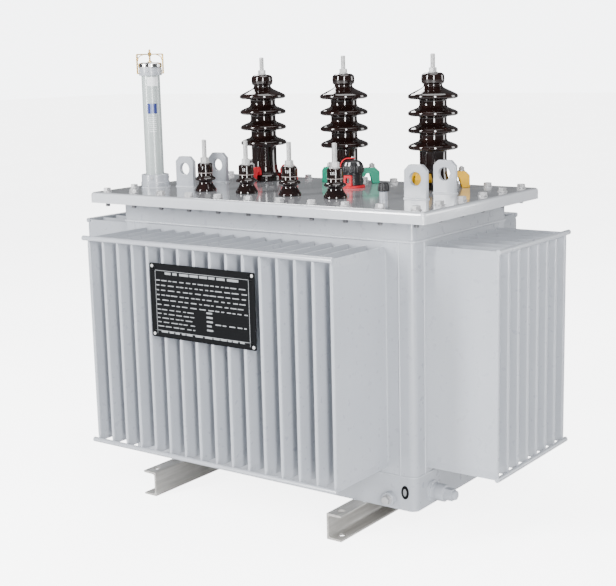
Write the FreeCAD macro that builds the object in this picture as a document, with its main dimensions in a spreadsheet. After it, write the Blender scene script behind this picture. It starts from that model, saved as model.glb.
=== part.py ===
import FreeCAD, Part
import operator
import os
from types import SimpleNamespace

import Sketcher

# An oil-filled distribution transformer with corrugated tank walls.
# Millimetres. The ground is z = 0, the tank's length runs along X, and the side with the
# nameplate and the low voltage bushings faces -Y. The origin is below the tank's centre.

SIZES = {
    # feet
    "channel_height": 63,
    "channel_flange": 40,
    "channel_plate": 5,
    "channel_overhang": 108,
    "channel_inset": 174,
    "foot_hole_gauge": 22,
    "foot_hole_radius": 9,
    "foot_hole_end": 30,
    # tank
    "tank_length": 880,
    "tank_width": 444,
    "tank_wall": 4,
    "tank_corner_radius": 18,
    "base_height": 81,
    "base_floor": 5,
    "panel_height": 543,
    "neck_height": 56,
    "post_along_length": 40,
    "post_along_width": 44,
    # core and windings
    "core_foot_height": 30,
    "core_foot_width": 60,
    "core_foot_length": 300,
    "core_section": 120,
    "core_headroom": 49,
    "winding_end_gap": 61,
    "winding_gap": 13,
    "winding_yoke_gap": 15,
    # corrugated fins
    "long_fins": 16,
    "short_fins": 8,
    "long_fin_depth": 205,
    "short_fin_depth": 183,
    "long_fin_end": 40,
    "short_fin_end": 10,
    "fin_thickness": 10,
    "fin_sheet": 1.5,
    "fin_margin": 14,
    "fin_taper": 20,
    "fin_pressed_end": 3,
    "rod_radius": 6,
    "rod_inset": 2,
    "rod_overhang": 13,
    # cover and its joint
    "flange_plate": 8,
    "gasket_plate": 6,
    "cover_plate": 6,
    "cover_overhang_long": 60,
    "cover_overhang_short": 55.5,
    "cover_edge_wall": 6,
    "cover_edge_depth": 27,
    "cover_bend_radius": 8,
    "cover_corner_radius": 9,
    "flange_gap": 3,
    "bolt_margin_long": 36,
    "bolt_margin_short": 28,
    "bolt_hole_radius": 7,
    "bolts_along_length": 11,
    "bolts_along_width": 6,
    # high voltage bushings
    "hv_spacing": 267,
    "hv_row_inset": 63,
    "hv_foot_radius": 48,
    "hv_foot_height": 18,
    "hv_foot_ledge": 8,
    "hv_flare_height": 36,
    "hv_body_radius": 34,
    "hv_shed_radius": 62,
    "hv_shed_rim": 9,
    "hv_shed_round_share": 0.45,
    "hv_shed_rise": 14,
    "hv_first_shed": 98,
    "hv_shed_pitch": 41.5,
    "hv_neck_radius": 23,
    "hv_head_radius": 29,
    "hv_head_low": 257,
    "hv_head_top_round_share": 0.33,
    "hv_head_low_round_share": 0.66,
    "hv_height": 285,
    "hv_stud_radius": 6,
    "hv_stud_top": 331,
    "hv_nut_radius": 10.4,
    "hv_nut_height": 10,
    "hv_washer_radius": 12,
    "washer_plate": 2.5,
    # claws that hold the high voltage bushings
    "claw_grip": 6,
    "claw_reach": 42,
    "claw_rise": 23,
    "claw_width": 28,
    "claw_beam": 14,
    "claw_heel": 19,
    "claw_heel_slope": 8,
    "claw_shoulder": 10,
    "claw_foot_gap": 3,
    "claw_underside_slope": 5,
    "claw_bolt_radius": 4.2,
    "claw_bolt_out": 23,
    "claw_angle": 39,
    # low voltage bushings
    "lv_spacing": 134,
    "lv_row_centre": -32,
    "lv_row_inset": 92,
    "lv_foot_radius": 28,
    "lv_foot_height": 8,
    "lv_waist_radius": 17.5,
    "lv_waist_height": 24,
    "lv_shed_radius": 27,
    "lv_shed_height": 31,
    "lv_shed_rim": 3,
    "lv_shed_rise": 8,
    "lv_head_radius": 19,
    "lv_head_low": 48,
    "lv_height": 71,
    "lv_head_round": 1.9,
    "lv_stud_radius": 6,
    "lv_stud_top": 130,
    "lv_nut_radius": 11,
    "lv_nut_height": 12,
    "lv_washer_radius": 13,
    # lifting lugs
    "lug_inset": 86,
    "lug_row_inset": 155,
    "lug_width": 60,
    "lug_height": 80,
    "lug_plate": 12,
    "lug_chamfer": 13,
    "lug_hole_radius": 16,
    "lug_hole_height": 47,
    # filler tube
    "filler_inset": 6,
    "tube_radius": 24,
    "tube_wall": 3,
    "tube_height": 300,
    "collar_wall": 12,
    "collar_height": 34,
    "collar_foot_wall": 14,
    "collar_foot_height": 14,
    "seat_clearance": 0.3,
    "cap_wall": 6,
    "cap_height": 34,
    "cap_overlap": 9,
    "cage_gap": 1,
    "cage_height": 52,
    "cage_strap": 14,
    "cage_plate": 4,
    "cage_gusset": 8,
    "cage_foot": 4,
    "cage_turn": 36,
    "cage_screw_radius": 2.5,
    "cage_screw_height": 11,
    # tap changer
    "tap_place": 70,
    "tap_from_hv_row": 67,
    "tap_flange_radius": 31,
    "tap_flange_plate": 6,
    "tap_body_radius": 25,
    "tap_body_top": 38,
    "tap_spindle_radius": 8,
    "tap_spindle_rise": 18,
    "tap_spindle_end_gap": 1.3,
    "tap_bore_clearance": 0.05,
    "knob_radius": 28.5,
    "knob_rim": 14,
    "knob_crown_radius": 15,
    "knob_bulge": 2,
    "knob_height": 32,
    # vent plug
    "vent_inset": 153,
    "vent_row_inset": 119,
    "vent_neck_radius": 10,
    "vent_neck_height": 27,
    "vent_cap_wall": 3.75,
    "vent_cap_height": 20,
    "vent_cap_overlap": 8,
    # drain valve
    "drain_row_inset": 74,
    "drain_height": 32,
    "drain_ring_radius": 26,
    "drain_ring_plate": 6,
    "drain_body_radius": 20,
    "drain_body_length": 32,
    "drain_plug_radius": 15.5,
    "drain_plug_length": 28,
    # earthing terminal
    "earth_inset": 68,
    "earth_height": 24,
    "earth_boss_radius": 16,
    "earth_boss_length": 14,
    "earth_thread_radius": 5.1,
    "earth_thread_depth": 11,
    # nameplate
    "plate_length": 312,
    "plate_height": 176,
    "plate_thickness": 3,
    "plate_centre_height": 396,
}

LIMB_COUNT = 3
HV_COUNT = 3
LV_COUNT = 4
CLAW_COUNT = 3

OPERATIONS = {
    "+": operator.add,
    "-": operator.sub,
    "*": operator.mul,
    "/": operator.truediv,
}

X_AXIS = FreeCAD.Vector(1, 0, 0)
Y_AXIS = FreeCAD.Vector(0, 1, 0)
Z_AXIS = FreeCAD.Vector(0, 0, 1)


class Size:
    """A length that remembers how it is worked out from the cells of the sheet."""

    def __init__(self, value, text):
        self.value = value
        self.text = text

    def __add__(self, other):
        return combine(self, "+", other)

    def __radd__(self, other):
        return combine(other, "+", self)

    def __sub__(self, other):
        return combine(self, "-", other)

    def __rsub__(self, other):
        return combine(other, "-", self)

    def __mul__(self, other):
        return combine(self, "*", other)

    def __rmul__(self, other):
        return combine(other, "*", self)

    def __truediv__(self, other):
        return combine(self, "/", other)

    def __neg__(self):
        return combine(0, "-", self)


def as_size(item):
    return item if isinstance(item, Size) else Size(item, repr(item))


def combine(left, sign, right):
    left = as_size(left)
    right = as_size(right)
    value = OPERATIONS[sign](left.value, right.value)
    return Size(value, f"({left.text} {sign} {right.text})")


doc = FreeCAD.newDocument("PowerTransformer")
sheet = doc.addObject("Spreadsheet::Sheet", "Sizes")
for row, (alias, value) in enumerate(SIZES.items(), start=1):
    sheet.set(f"A{row}", alias)
    sheet.set(f"B{row}", str(value))
    sheet.setAlias(f"B{row}", alias)
doc.recompute()

size = SimpleNamespace(**{alias: Size(value, f"Sizes.{alias}") for alias, value in SIZES.items()})

BASE_BOTTOM = size.channel_height
PANEL_BOTTOM = BASE_BOTTOM + size.base_height
NECK_BOTTOM = PANEL_BOTTOM + size.panel_height
FLANGE_BOTTOM = NECK_BOTTOM + size.neck_height
GASKET_BOTTOM = FLANGE_BOTTOM + size.flange_plate
COVER_BOTTOM = GASKET_BOTTOM + size.gasket_plate
COVER_TOP = COVER_BOTTOM + size.cover_plate
FIN_LOW = size.fin_margin
FIN_HIGH = size.panel_height - size.fin_margin

TANK_END = size.tank_length / 2
TANK_SIDE = size.tank_width / 2
COVER_LENGTH = size.tank_length + 2 * size.cover_overhang_long
COVER_WIDTH = size.tank_width + 2 * size.cover_overhang_short
BOLT_X = COVER_LENGTH / 2 - size.bolt_margin_long
BOLT_Y = COVER_WIDTH / 2 - size.bolt_margin_short
HV_ROW = TANK_SIDE - size.hv_row_inset
LV_ROW = size.lv_row_inset - TANK_SIDE


# ---------------------------------------------------------------- making and placing


def bind(item, path, value):
    """Bind one property to the sheet."""
    item.setExpression(path, as_size(value).text)


def place(item, x=0, y=0, z=0, axis=Z_AXIS, degrees=0):
    """Turn an object about an axis and move it. An angle from the sheet stays bound to it."""
    turn = FreeCAD.Rotation(axis, as_size(degrees).value)
    item.Placement = FreeCAD.Placement(FreeCAD.Vector(), turn)
    for letter, value in zip("xyz", (x, y, z)):
        bind(item, f"Placement.Base.{letter}", value)
    if isinstance(degrees, Size):
        bind(item, "Placement.Rotation.Angle", degrees)
    return item


def box(name, length, width, height, x=0, y=0, z=0):
    """A block whose lowest corner is at x, y, z."""
    block = doc.addObject("Part::Box", name)
    bind(block, "Length", length)
    bind(block, "Width", width)
    bind(block, "Height", height)
    return place(block, x, y, z)


def centred_box(name, length, width, height, z):
    """A block centred on the origin in X and Y."""
    return box(name, length, width, height, -length / 2, -width / 2, z)


def cylinder(name, radius, height, x=0, y=0, z=0, axis=Z_AXIS, degrees=0):
    rod = doc.addObject("Part::Cylinder", name)
    bind(rod, "Radius", radius)
    bind(rod, "Height", height)
    return place(rod, x, y, z, axis, degrees)


def hexagon(name, corner_radius, height, x=0, y=0, z=0, axis=Z_AXIS, degrees=0):
    prism = doc.addObject("Part::Prism", name)
    prism.Polygon = 6
    bind(prism, "Circumradius", corner_radius)
    bind(prism, "Height", height)
    return place(prism, x, y, z, axis, degrees)


def cut(name, base, tool):
    result = doc.addObject("Part::Cut", name)
    result.Base = base
    result.Tool = tool
    return result


def fuse(name, pieces):
    result = doc.addObject("Part::MultiFuse", name)
    result.Shapes = pieces
    return result


def group(name, pieces):
    """Several solids that don't touch, as one object."""
    result = doc.addObject("Part::Compound", name)
    result.Links = pieces
    return result


# ---------------------------------------------------------------- sketches and bodies


def new_body(name):
    return doc.addObject("PartDesign::Body", name)


def origin_plane(body, role):
    return next(item for item in body.Origin.OriginFeatures if item.Role == role)


def outline(body, name, role, points, lift=0):
    """A closed outline of straight edges on an origin plane, lifted along its normal."""
    sketch = body.newObject("Sketcher::SketchObject", name)
    sketch.AttachmentSupport = [(origin_plane(body, role), "")]
    sketch.MapMode = "FlatFace"
    bind(sketch, "AttachmentOffset.Base.z", lift)
    points = [(as_size(x), as_size(y)) for x, y in points]
    corners = [FreeCAD.Vector(x.value, y.value, 0) for x, y in points]
    count = len(corners)
    for index in range(count):
        sketch.addGeometry(Part.LineSegment(corners[index], corners[(index + 1) % count]))
    for index in range(count):
        following = (index + 1) % count
        sketch.addConstraint(Sketcher.Constraint("Coincident", index, 2, following, 1))
    for index, (x, y) in enumerate(points):
        for kind, value in (("DistanceX", x), ("DistanceY", y)):
            number = sketch.addConstraint(Sketcher.Constraint(kind, index, 1, value.value))
            bind(sketch, f"Constraints[{number}]", value)
    return sketch


def rectangle(body, name, role, left, right, low, high, lift=0):
    corners = [(left, low), (right, low), (right, high), (left, high)]
    return outline(body, name, role, corners, lift)


def pad(body, name, sketch, length, backwards=False):
    feature = body.newObject("PartDesign::Pad", name)
    feature.Profile = sketch
    feature.Reversed = backwards
    bind(feature, "Length", length)
    body.Tip = feature
    return feature


def pocket(body, name, sketch, length, backwards=False):
    feature = body.newObject("PartDesign::Pocket", name)
    feature.Profile = sketch
    feature.Reversed = backwards
    bind(feature, "Length", length)
    body.Tip = feature
    return feature


def revolve(body, name, sketch):
    feature = body.newObject("PartDesign::Revolution", name)
    feature.Profile = sketch
    feature.ReferenceAxis = (sketch, ["V_Axis"])
    feature.Angle = 360
    body.Tip = feature
    return feature


def round_edges(body, name, radius, chosen):
    """Round the edges of the body so far that pass a test."""
    doc.recompute()
    base = body.Tip
    numbered = enumerate(base.Shape.Edges, start=1)
    names = [f"Edge{number}" for number, edge in numbered if chosen(edge)]
    feature = body.newObject("PartDesign::Fillet", name)
    feature.Base = (base, names)
    bind(feature, "Radius", radius)
    body.Tip = feature
    return feature


def is_upright(edge):
    start, end = edge.Vertexes[0].Point, edge.Vertexes[-1].Point
    return abs(start.z - end.z) > 0.99 * edge.Length


def is_ring(edge, radius):
    return isinstance(edge.Curve, Part.Circle) and abs(edge.Curve.Radius - radius.value) < 0.01


def is_at_height(edge, height):
    return abs(edge.BoundBox.ZMin - height.value) < 0.01 and edge.BoundBox.ZLength < 0.01


def rounded_frame(name, length, width, height, wall, radius, floor=0):
    """An upright frame of folded plate with round corners, with or without a floor."""
    body = new_body(name)
    outer = rectangle(body, name + "_outer", "XY_Plane", -length / 2, length / 2, -width / 2, width / 2)
    pad(body, name + "_block", outer, height)
    half_length = length / 2 - wall
    half_width = width / 2 - wall
    inner = rectangle(
        body, name + "_inner", "XY_Plane", -half_length, half_length, -half_width, half_width, floor
    )
    pocket(body, name + "_hollow", inner, height - floor, backwards=True)

    def inside(edge):
        return is_upright(edge) and abs(edge.CenterOfMass.x) < length.value / 2 - wall.value / 2

    def outside(edge):
        return is_upright(edge) and abs(edge.CenterOfMass.x) > length.value / 2 - wall.value / 2

    round_edges(body, name + "_inner_corners", radius - wall, inside)
    round_edges(body, name + "_outer_corners", radius, outside)
    return body


# ---------------------------------------------------------------- feet


def base_channel(name, side):
    """A channel along Y with its web inward and its flanges outward; side is +1 or -1."""
    start = TANK_END - size.channel_inset
    length = size.tank_width + 2 * size.channel_overhang
    back = side * start
    web = side * (start + size.channel_plate)
    tip = side * (start + size.channel_flange)
    top = size.channel_height
    corners = [
        (back, 0),
        (tip, 0),
        (tip, size.channel_plate),
        (web, size.channel_plate),
        (web, top - size.channel_plate),
        (tip, top - size.channel_plate),
        (tip, top),
        (back, top),
    ]
    body = new_body(name + "_section")
    pad(body, name + "_run", outline(body, name + "_outline", "XZ_Plane", corners), length)
    place(body, y=length / 2)
    hole_x = side * (start + size.foot_hole_gauge)
    hole_y = length / 2 - size.foot_hole_end
    holes = [
        cylinder(f"{name}_hole_{end}", size.foot_hole_radius, top, hole_x, end_y)
        for end, end_y in (("front", -hole_y), ("back", hole_y))
    ]
    return cut(name, body, group(name + "_holes", holes))


# ---------------------------------------------------------------- tank


def tank_base():
    body = rounded_frame(
        "tank_base",
        size.tank_length,
        size.tank_width,
        size.base_height,
        size.tank_wall,
        size.tank_corner_radius,
        size.base_floor,
    )
    return place(body, z=BASE_BOTTOM)


def corner_posts():
    """Four bent corner plates: a frame with its sides cut away for the fin walls."""
    frame = rounded_frame(
        "corner_frame",
        size.tank_length,
        size.tank_width,
        size.panel_height,
        size.tank_wall,
        size.tank_corner_radius,
    )
    along_length = size.tank_length - 2 * size.post_along_length
    along_width = size.tank_width - 2 * size.post_along_width
    gaps = [
        centred_box("long_side_gap", along_length, 2 * size.tank_width, size.panel_height, 0),
        centred_box("short_side_gap", 2 * size.tank_length, along_width, size.panel_height, 0),
    ]
    posts = cut("corner_posts", frame, fuse("side_gaps", gaps))
    return place(posts, z=PANEL_BOTTOM)


def tank_neck():
    body = rounded_frame(
        "tank_neck",
        size.tank_length,
        size.tank_width,
        size.neck_height,
        size.tank_wall,
        size.tank_corner_radius,
    )
    return place(body, z=NECK_BOTTOM)


def core_and_windings():
    """The iron core and its windings, which stand on the tank's floor."""
    section = size.core_section
    pitch = (size.tank_length - 2 * (size.tank_wall + size.winding_end_gap)) / LIMB_COUNT
    yoke_length = (LIMB_COUNT - 1) * pitch + section
    floor = BASE_BOTTOM + size.base_floor
    yoke_low = floor + size.core_foot_height
    yoke_high = COVER_BOTTOM - size.core_headroom - section
    limb_low = yoke_low + section
    limb_length = yoke_high - limb_low
    pieces = [
        centred_box("core_yoke_low", yoke_length, section, section, yoke_low),
        centred_box("core_yoke_high", yoke_length, section, section, yoke_high),
    ]
    winding_radius = pitch / 2 - size.winding_gap
    winding_low = limb_low + size.winding_yoke_gap
    winding_length = limb_length - 2 * size.winding_yoke_gap
    for number in range(1, LIMB_COUNT + 1):
        x = (number - (LIMB_COUNT + 1) / 2) * pitch
        limb = centred_box(f"core_limb_{number}", section, section, limb_length, limb_low)
        bind(limb, "Placement.Base.x", x - section / 2)
        pieces.append(limb)
        winding = cylinder(f"winding_{number}", winding_radius, winding_length, x, 0, winding_low)
        pieces.append(winding)
    for name, side in (("left", -1), ("right", 1)):
        foot = centred_box(
            f"core_foot_{name}", size.core_foot_width, size.core_foot_length, size.core_foot_height, floor
        )
        bind(foot, "Placement.Base.x", side * pitch - size.core_foot_width / 2)
        pieces.append(foot)
    return fuse("core_and_windings", pieces)


def fin_outline(body, name, middle):
    """One fin seen from outside: a tall strip whose ends are pressed thin."""
    half = size.fin_thickness / 2
    pressed = size.fin_pressed_end / 2
    low = FIN_LOW + size.fin_taper
    high = FIN_HIGH - size.fin_taper
    corners = [
        (middle - pressed, FIN_LOW),
        (middle + pressed, FIN_LOW),
        (middle + half, low),
        (middle + half, high),
        (middle + pressed, FIN_HIGH),
        (middle - pressed, FIN_HIGH),
        (middle - half, high),
        (middle - half, low),
    ]
    return outline(body, name, "XZ_Plane", corners)


def fin_wall(name, width, fins, fin_end, depth, turn, long_end, x=0, y=0):
    """A corrugated wall and its two rods, made facing -Y and then turned about Z.

    fin_end is the distance from the wall's edge to the middle of its first fin. The rods
    stand out past the last fin at one end, long_end, which is -1 or 1 before the turn.
    """
    body = new_body(name + "_sheet")
    sheet_outline = rectangle(
        body, name + "_wall_outline", "XZ_Plane", -width / 2, width / 2, 0, size.panel_height
    )
    pad(body, name + "_wall", sheet_outline, size.tank_wall, backwards=True)
    span = width - 2 * fin_end
    first = -span / 2
    fin_sketch = fin_outline(body, name + "_fin_outline", first)
    fin = pad(body, name + "_fin", fin_sketch, depth)
    inside = size.fin_thickness / 2 - size.fin_sheet
    hollow_sketch = rectangle(
        body,
        name + "_hollow_outline",
        "XZ_Plane",
        first - inside,
        first + inside,
        FIN_LOW + size.fin_taper,
        FIN_HIGH - size.fin_taper,
        -size.tank_wall,
    )
    hollow_depth = size.tank_wall + depth - size.fin_sheet
    hollow = pocket(body, name + "_hollow", hollow_sketch, hollow_depth, backwards=True)
    row = body.newObject("PartDesign::LinearPattern", name + "_row")
    row.Originals = [fin, hollow]
    row.Direction = (fin_sketch, ["H_Axis"])
    bind(row, "Length", span)
    bind(row, "Occurrences", fins)
    body.Tip = row

    rod_length = span + size.fin_thickness + size.rod_overhang
    rod_start = -(span + size.fin_thickness) / 2
    if long_end < 0:
        rod_start = rod_start - size.rod_overhang
    rods = [
        cylinder(
            f"{name}_rod_{end}",
            size.rod_radius,
            rod_length,
            rod_start,
            size.rod_inset - depth,
            height,
            Y_AXIS,
            90,
        )
        for end, height in (("low", FIN_LOW + size.rod_inset), ("high", FIN_HIGH - size.rod_inset))
    ]
    rod_pair = group(name + "_rods", rods)
    wall = cut(name, body, rod_pair)
    place(wall, x, y, PANEL_BOTTOM, Z_AXIS, turn)
    placed_rods = group(name + "_placed_rods", [rod_pair])
    place(placed_rods, x, y, PANEL_BOTTOM, Z_AXIS, turn)
    return wall, placed_rods


def fin_walls():
    long_width = size.tank_length - 2 * size.post_along_length
    short_width = size.tank_width - 2 * size.post_along_width
    long_side = (long_width, size.long_fins, size.long_fin_end, size.long_fin_depth)
    short_side = (short_width, size.short_fins, size.short_fin_end, size.short_fin_depth)
    sides = [
        fin_wall("fin_wall_front", *long_side, 0, -1, y=-TANK_SIDE),
        fin_wall("fin_wall_right", *short_side, 90, 1, x=TANK_END),
        fin_wall("fin_wall_back", *long_side, 180, 1, y=TANK_SIDE),
        fin_wall("fin_wall_left", *short_side, 270, -1, x=-TANK_END),
    ]
    walls = [wall for wall, rods in sides]
    rods = group("fin_rods", [rods for wall, rods in sides])
    return walls + [rods]


# ---------------------------------------------------------------- cover


def bolt_places():
    """Centres of the cover bolts: two long rows and the bolts between them on the ends."""
    places = []
    for step in range(size.bolts_along_length.value):
        x = -BOLT_X + 2 * BOLT_X * step / (size.bolts_along_length - 1)
        places += [(x, -BOLT_Y), (x, BOLT_Y)]
    for step in range(1, size.bolts_along_width.value - 1):
        y = -BOLT_Y + 2 * BOLT_Y * step / (size.bolts_along_width - 1)
        places += [(-BOLT_X, y), (BOLT_X, y)]
    return places


def bolt_holes():
    depth = size.flange_plate + size.gasket_plate + size.cover_plate
    holes = [
        cylinder(f"cover_bolt_hole_{number}", size.bolt_hole_radius, depth, x, y, FLANGE_BOTTOM)
        for number, (x, y) in enumerate(bolt_places(), start=1)
    ]
    return group("cover_bolt_holes", holes)


def flat_ring(name, thickness, bottom, holes):
    """A flat frame that fits inside the cover's folded edge, with the bolt holes through it."""
    trim = 2 * (size.cover_edge_wall + size.flange_gap)
    plate = centred_box(name + "_plate", COVER_LENGTH - trim, COVER_WIDTH - trim, thickness, bottom)
    window_length = size.tank_length - 2 * size.tank_wall
    window_width = size.tank_width - 2 * size.tank_wall
    window = centred_box(name + "_window", window_length, window_width, thickness, bottom)
    return cut(name, cut(name + "_frame", plate, window), holes)


def cover(holes):
    """A flat plate whose edges are folded down around the tank's flange."""
    body = new_body("cover_pan")
    half_length = COVER_LENGTH / 2
    half_width = COVER_WIDTH / 2
    outer = rectangle(
        body, "cover_outer", "XY_Plane", -half_length, half_length, -half_width, half_width
    )
    pad(body, "cover_block", outer, size.cover_edge_depth)
    inner_length = half_length - size.cover_edge_wall
    inner_width = half_width - size.cover_edge_wall
    inner = rectangle(
        body, "cover_inner", "XY_Plane", -inner_length, inner_length, -inner_width, inner_width
    )
    pocket(body, "cover_hollow", inner, size.cover_edge_depth - size.cover_plate, backwards=True)

    middle_of_wall = (half_length - size.cover_edge_wall / 2).value

    def inside(edge):
        return is_upright(edge) and abs(edge.CenterOfMass.x) < middle_of_wall

    def outside(edge):
        return is_upright(edge) and abs(edge.CenterOfMass.x) > middle_of_wall

    def on_top(edge):
        return edge.BoundBox.ZMin > size.cover_edge_depth.value - 0.01

    round_edges(body, "cover_inner_corners", size.cover_corner_radius - size.cover_edge_wall, inside)
    round_edges(body, "cover_outer_corners", size.cover_corner_radius, outside)
    round_edges(body, "cover_bend", size.cover_bend_radius, on_top)
    place(body, z=COVER_TOP - size.cover_edge_depth)
    return cut("cover", body, holes)


# ---------------------------------------------------------------- bushings


def hv_profile():
    """Half section of a tall bushing: foot, flare, four sheds, neck and head."""
    body = size.hv_body_radius
    points = [
        (0, 0),
        (size.hv_foot_radius, 0),
        (size.hv_foot_radius, size.hv_foot_height),
        (size.hv_foot_radius - size.hv_foot_ledge, size.hv_foot_height),
        (body, size.hv_flare_height),
    ]
    for shed in range(4):
        low = size.hv_first_shed + shed * size.hv_shed_pitch
        rim = low + size.hv_shed_rim
        points += [(body, low), (size.hv_shed_radius, low), (size.hv_shed_radius, rim)]
        if shed < 3:
            points.append((body, rim + size.hv_shed_rise))
    points += [
        (size.hv_neck_radius, rim + size.hv_shed_rise + (body - size.hv_neck_radius) / 2),
        (size.hv_neck_radius, size.hv_head_low),
        (size.hv_head_radius, size.hv_head_low),
        (size.hv_head_radius, size.hv_height),
        (0, size.hv_height),
    ]
    return points


def hv_bushing(number, x):
    name = f"hv_bushing_{number}"
    body = new_body(name)
    sketch = outline(body, name + "_profile", "XZ_Plane", hv_profile())
    revolve(body, name + "_turned", sketch)
    round_edges(
        body,
        name + "_shed_rims",
        size.hv_shed_rim * size.hv_shed_round_share,
        lambda edge: is_ring(edge, size.hv_shed_radius),
    )
    round_edges(
        body,
        name + "_head_top",
        (size.hv_height - size.hv_head_low) * size.hv_head_top_round_share,
        lambda edge: is_ring(edge, size.hv_head_radius) and is_at_height(edge, size.hv_height),
    )
    round_edges(
        body,
        name + "_head_bottom",
        (size.hv_head_radius - size.hv_neck_radius) * size.hv_head_low_round_share,
        lambda edge: is_ring(edge, size.hv_head_radius) and is_at_height(edge, size.hv_head_low),
    )
    return place(body, x, HV_ROW, COVER_TOP)


def terminal(name, x, y, seat, washer_radius, nut_radius, nut_height, stud_radius, stud_top):
    """A stud with its washer and nut; seat is the top of its bushing, stud_top the stud's end."""
    washer = cylinder(name + "_washer", washer_radius, size.washer_plate, x, y, COVER_TOP + seat)
    nut_seat = COVER_TOP + seat + size.washer_plate
    nut = hexagon(name + "_nut", nut_radius, nut_height, x, y, nut_seat)
    stud = cylinder(name + "_stud", stud_radius, stud_top - seat, x, y, COVER_TOP + seat)
    return fuse(name, [washer, nut, stud])


def hv_claw(name, x, angle):
    """One claw: its toe holds the bushing's foot, its heel stands on the cover."""
    body = new_body(name + "_strip")
    toe = size.hv_foot_radius - size.claw_grip
    heel = size.hv_foot_radius + size.claw_reach
    top = size.hv_foot_height + size.claw_rise
    inner_heel = heel - size.claw_heel
    beam = top - size.claw_beam
    foot_edge = size.hv_foot_radius + size.claw_foot_gap
    corners = [
        (toe, size.hv_foot_height),
        (foot_edge, size.hv_foot_height),
        (foot_edge + size.claw_underside_slope, beam),
        (inner_heel - size.claw_heel_slope, beam),
        (inner_heel, 0),
        (heel, 0),
        (heel, top - size.claw_shoulder),
        (heel - size.claw_shoulder, top),
        (foot_edge, top),
        (toe, beam),
    ]
    sketch = outline(body, name + "_side", "XZ_Plane", corners)
    pad(body, name + "_bar", sketch, size.claw_width)
    place(body, y=size.claw_width / 2)
    hole_out = size.hv_foot_radius + size.claw_bolt_out
    claw = cut(name, body, cylinder(name + "_hole", size.claw_bolt_radius, top, hole_out))
    return place(claw, x, HV_ROW, COVER_TOP, Z_AXIS, size.claw_angle + angle)


def hv_clamps(number, x):
    """The claws of one tall bushing, spread evenly around its foot."""
    name = f"hv_clamps_{number}"
    step = 360 / CLAW_COUNT
    claws = [hv_claw(f"{name}_claw_{claw + 1}", x, claw * step) for claw in range(CLAW_COUNT)]
    return group(name, claws)


def high_voltage_side():
    nodes = []
    for number in range(1, HV_COUNT + 1):
        x = (number - (HV_COUNT + 1) / 2) * size.hv_spacing
        nodes.append(hv_bushing(number, x))
        nodes.append(
            terminal(
                f"hv_terminal_{number}",
                x,
                HV_ROW,
                size.hv_height,
                size.hv_washer_radius,
                size.hv_nut_radius,
                size.hv_nut_height,
                size.hv_stud_radius,
                size.hv_stud_top,
            )
        )
        nodes.append(hv_clamps(number, x))
    return nodes


def lv_profile():
    """Half section of a short bushing: flared foot, waist, one shed and a drum head."""
    waist = size.lv_waist_radius
    shed_low = size.lv_shed_height
    shed_high = shed_low + size.lv_shed_rim
    return [
        (0, 0),
        (size.lv_foot_radius, 0),
        (size.lv_foot_radius, size.lv_foot_height),
        (waist, size.lv_waist_height),
        (size.lv_shed_radius, shed_low),
        (size.lv_shed_radius, shed_high),
        (waist, shed_high + size.lv_shed_rise),
        (waist, size.lv_head_low),
        (size.lv_head_radius, size.lv_head_low),
        (size.lv_head_radius, size.lv_height),
        (0, size.lv_height),
    ]


def lv_bushing(number, x):
    name = f"lv_bushing_{number}"
    body = new_body(name)
    revolve(body, name + "_turned", outline(body, name + "_profile", "XZ_Plane", lv_profile()))
    round_edges(
        body,
        name + "_head_top",
        size.lv_head_round,
        lambda edge: is_ring(edge, size.lv_head_radius) and is_at_height(edge, size.lv_height),
    )
    return place(body, x, LV_ROW, COVER_TOP)


def low_voltage_side():
    nodes = []
    for number in range(1, LV_COUNT + 1):
        x = size.lv_row_centre + (number - (LV_COUNT + 1) / 2) * size.lv_spacing
        nodes.append(lv_bushing(number, x))
        nodes.append(
            terminal(
                f"lv_terminal_{number}",
                x,
                LV_ROW,
                size.lv_height,
                size.lv_washer_radius,
                size.lv_nut_radius,
                size.lv_nut_height,
                size.lv_stud_radius,
                size.lv_stud_top,
            )
        )
    return nodes


# ---------------------------------------------------------------- fittings on the cover


def lifting_lug(number, x, y):
    """An upright plate facing Y with chamfered top corners and a round hole."""
    name = f"lifting_lug_{number}"
    half = size.lug_width / 2
    chamfer = size.lug_chamfer
    top = size.lug_height
    corners = [
        (-half, 0),
        (half, 0),
        (half, top - chamfer),
        (half - chamfer, top),
        (chamfer - half, top),
        (-half, top - chamfer),
    ]
    body = new_body(name + "_plate")
    pad(body, name + "_block", outline(body, name + "_outline", "XZ_Plane", corners), size.lug_plate)
    hole = cylinder(
        name + "_hole", size.lug_hole_radius, size.lug_plate, 0, 0, size.lug_hole_height, X_AXIS, 90
    )
    lug = cut(name, body, hole)
    return place(lug, x, y + size.lug_plate / 2, COVER_TOP)


def lifting_lugs():
    signs = [(-1, -1), (1, -1), (-1, 1), (1, 1)]
    lug_x = TANK_END - size.lug_inset
    lug_y = TANK_SIDE - size.lug_row_inset
    return [
        lifting_lug(number, side * lug_x, end * lug_y)
        for number, (side, end) in enumerate(signs, start=1)
    ]


def on_filler(item, height=0, turn=0):
    """Place a piece of the filler midway between the second and third bolts of the left end."""
    y = -BOLT_Y + 3 * BOLT_Y / (size.bolts_along_width - 1)
    return place(item, size.filler_inset - TANK_END, y, COVER_TOP + height, Z_AXIS, turn)


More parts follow.
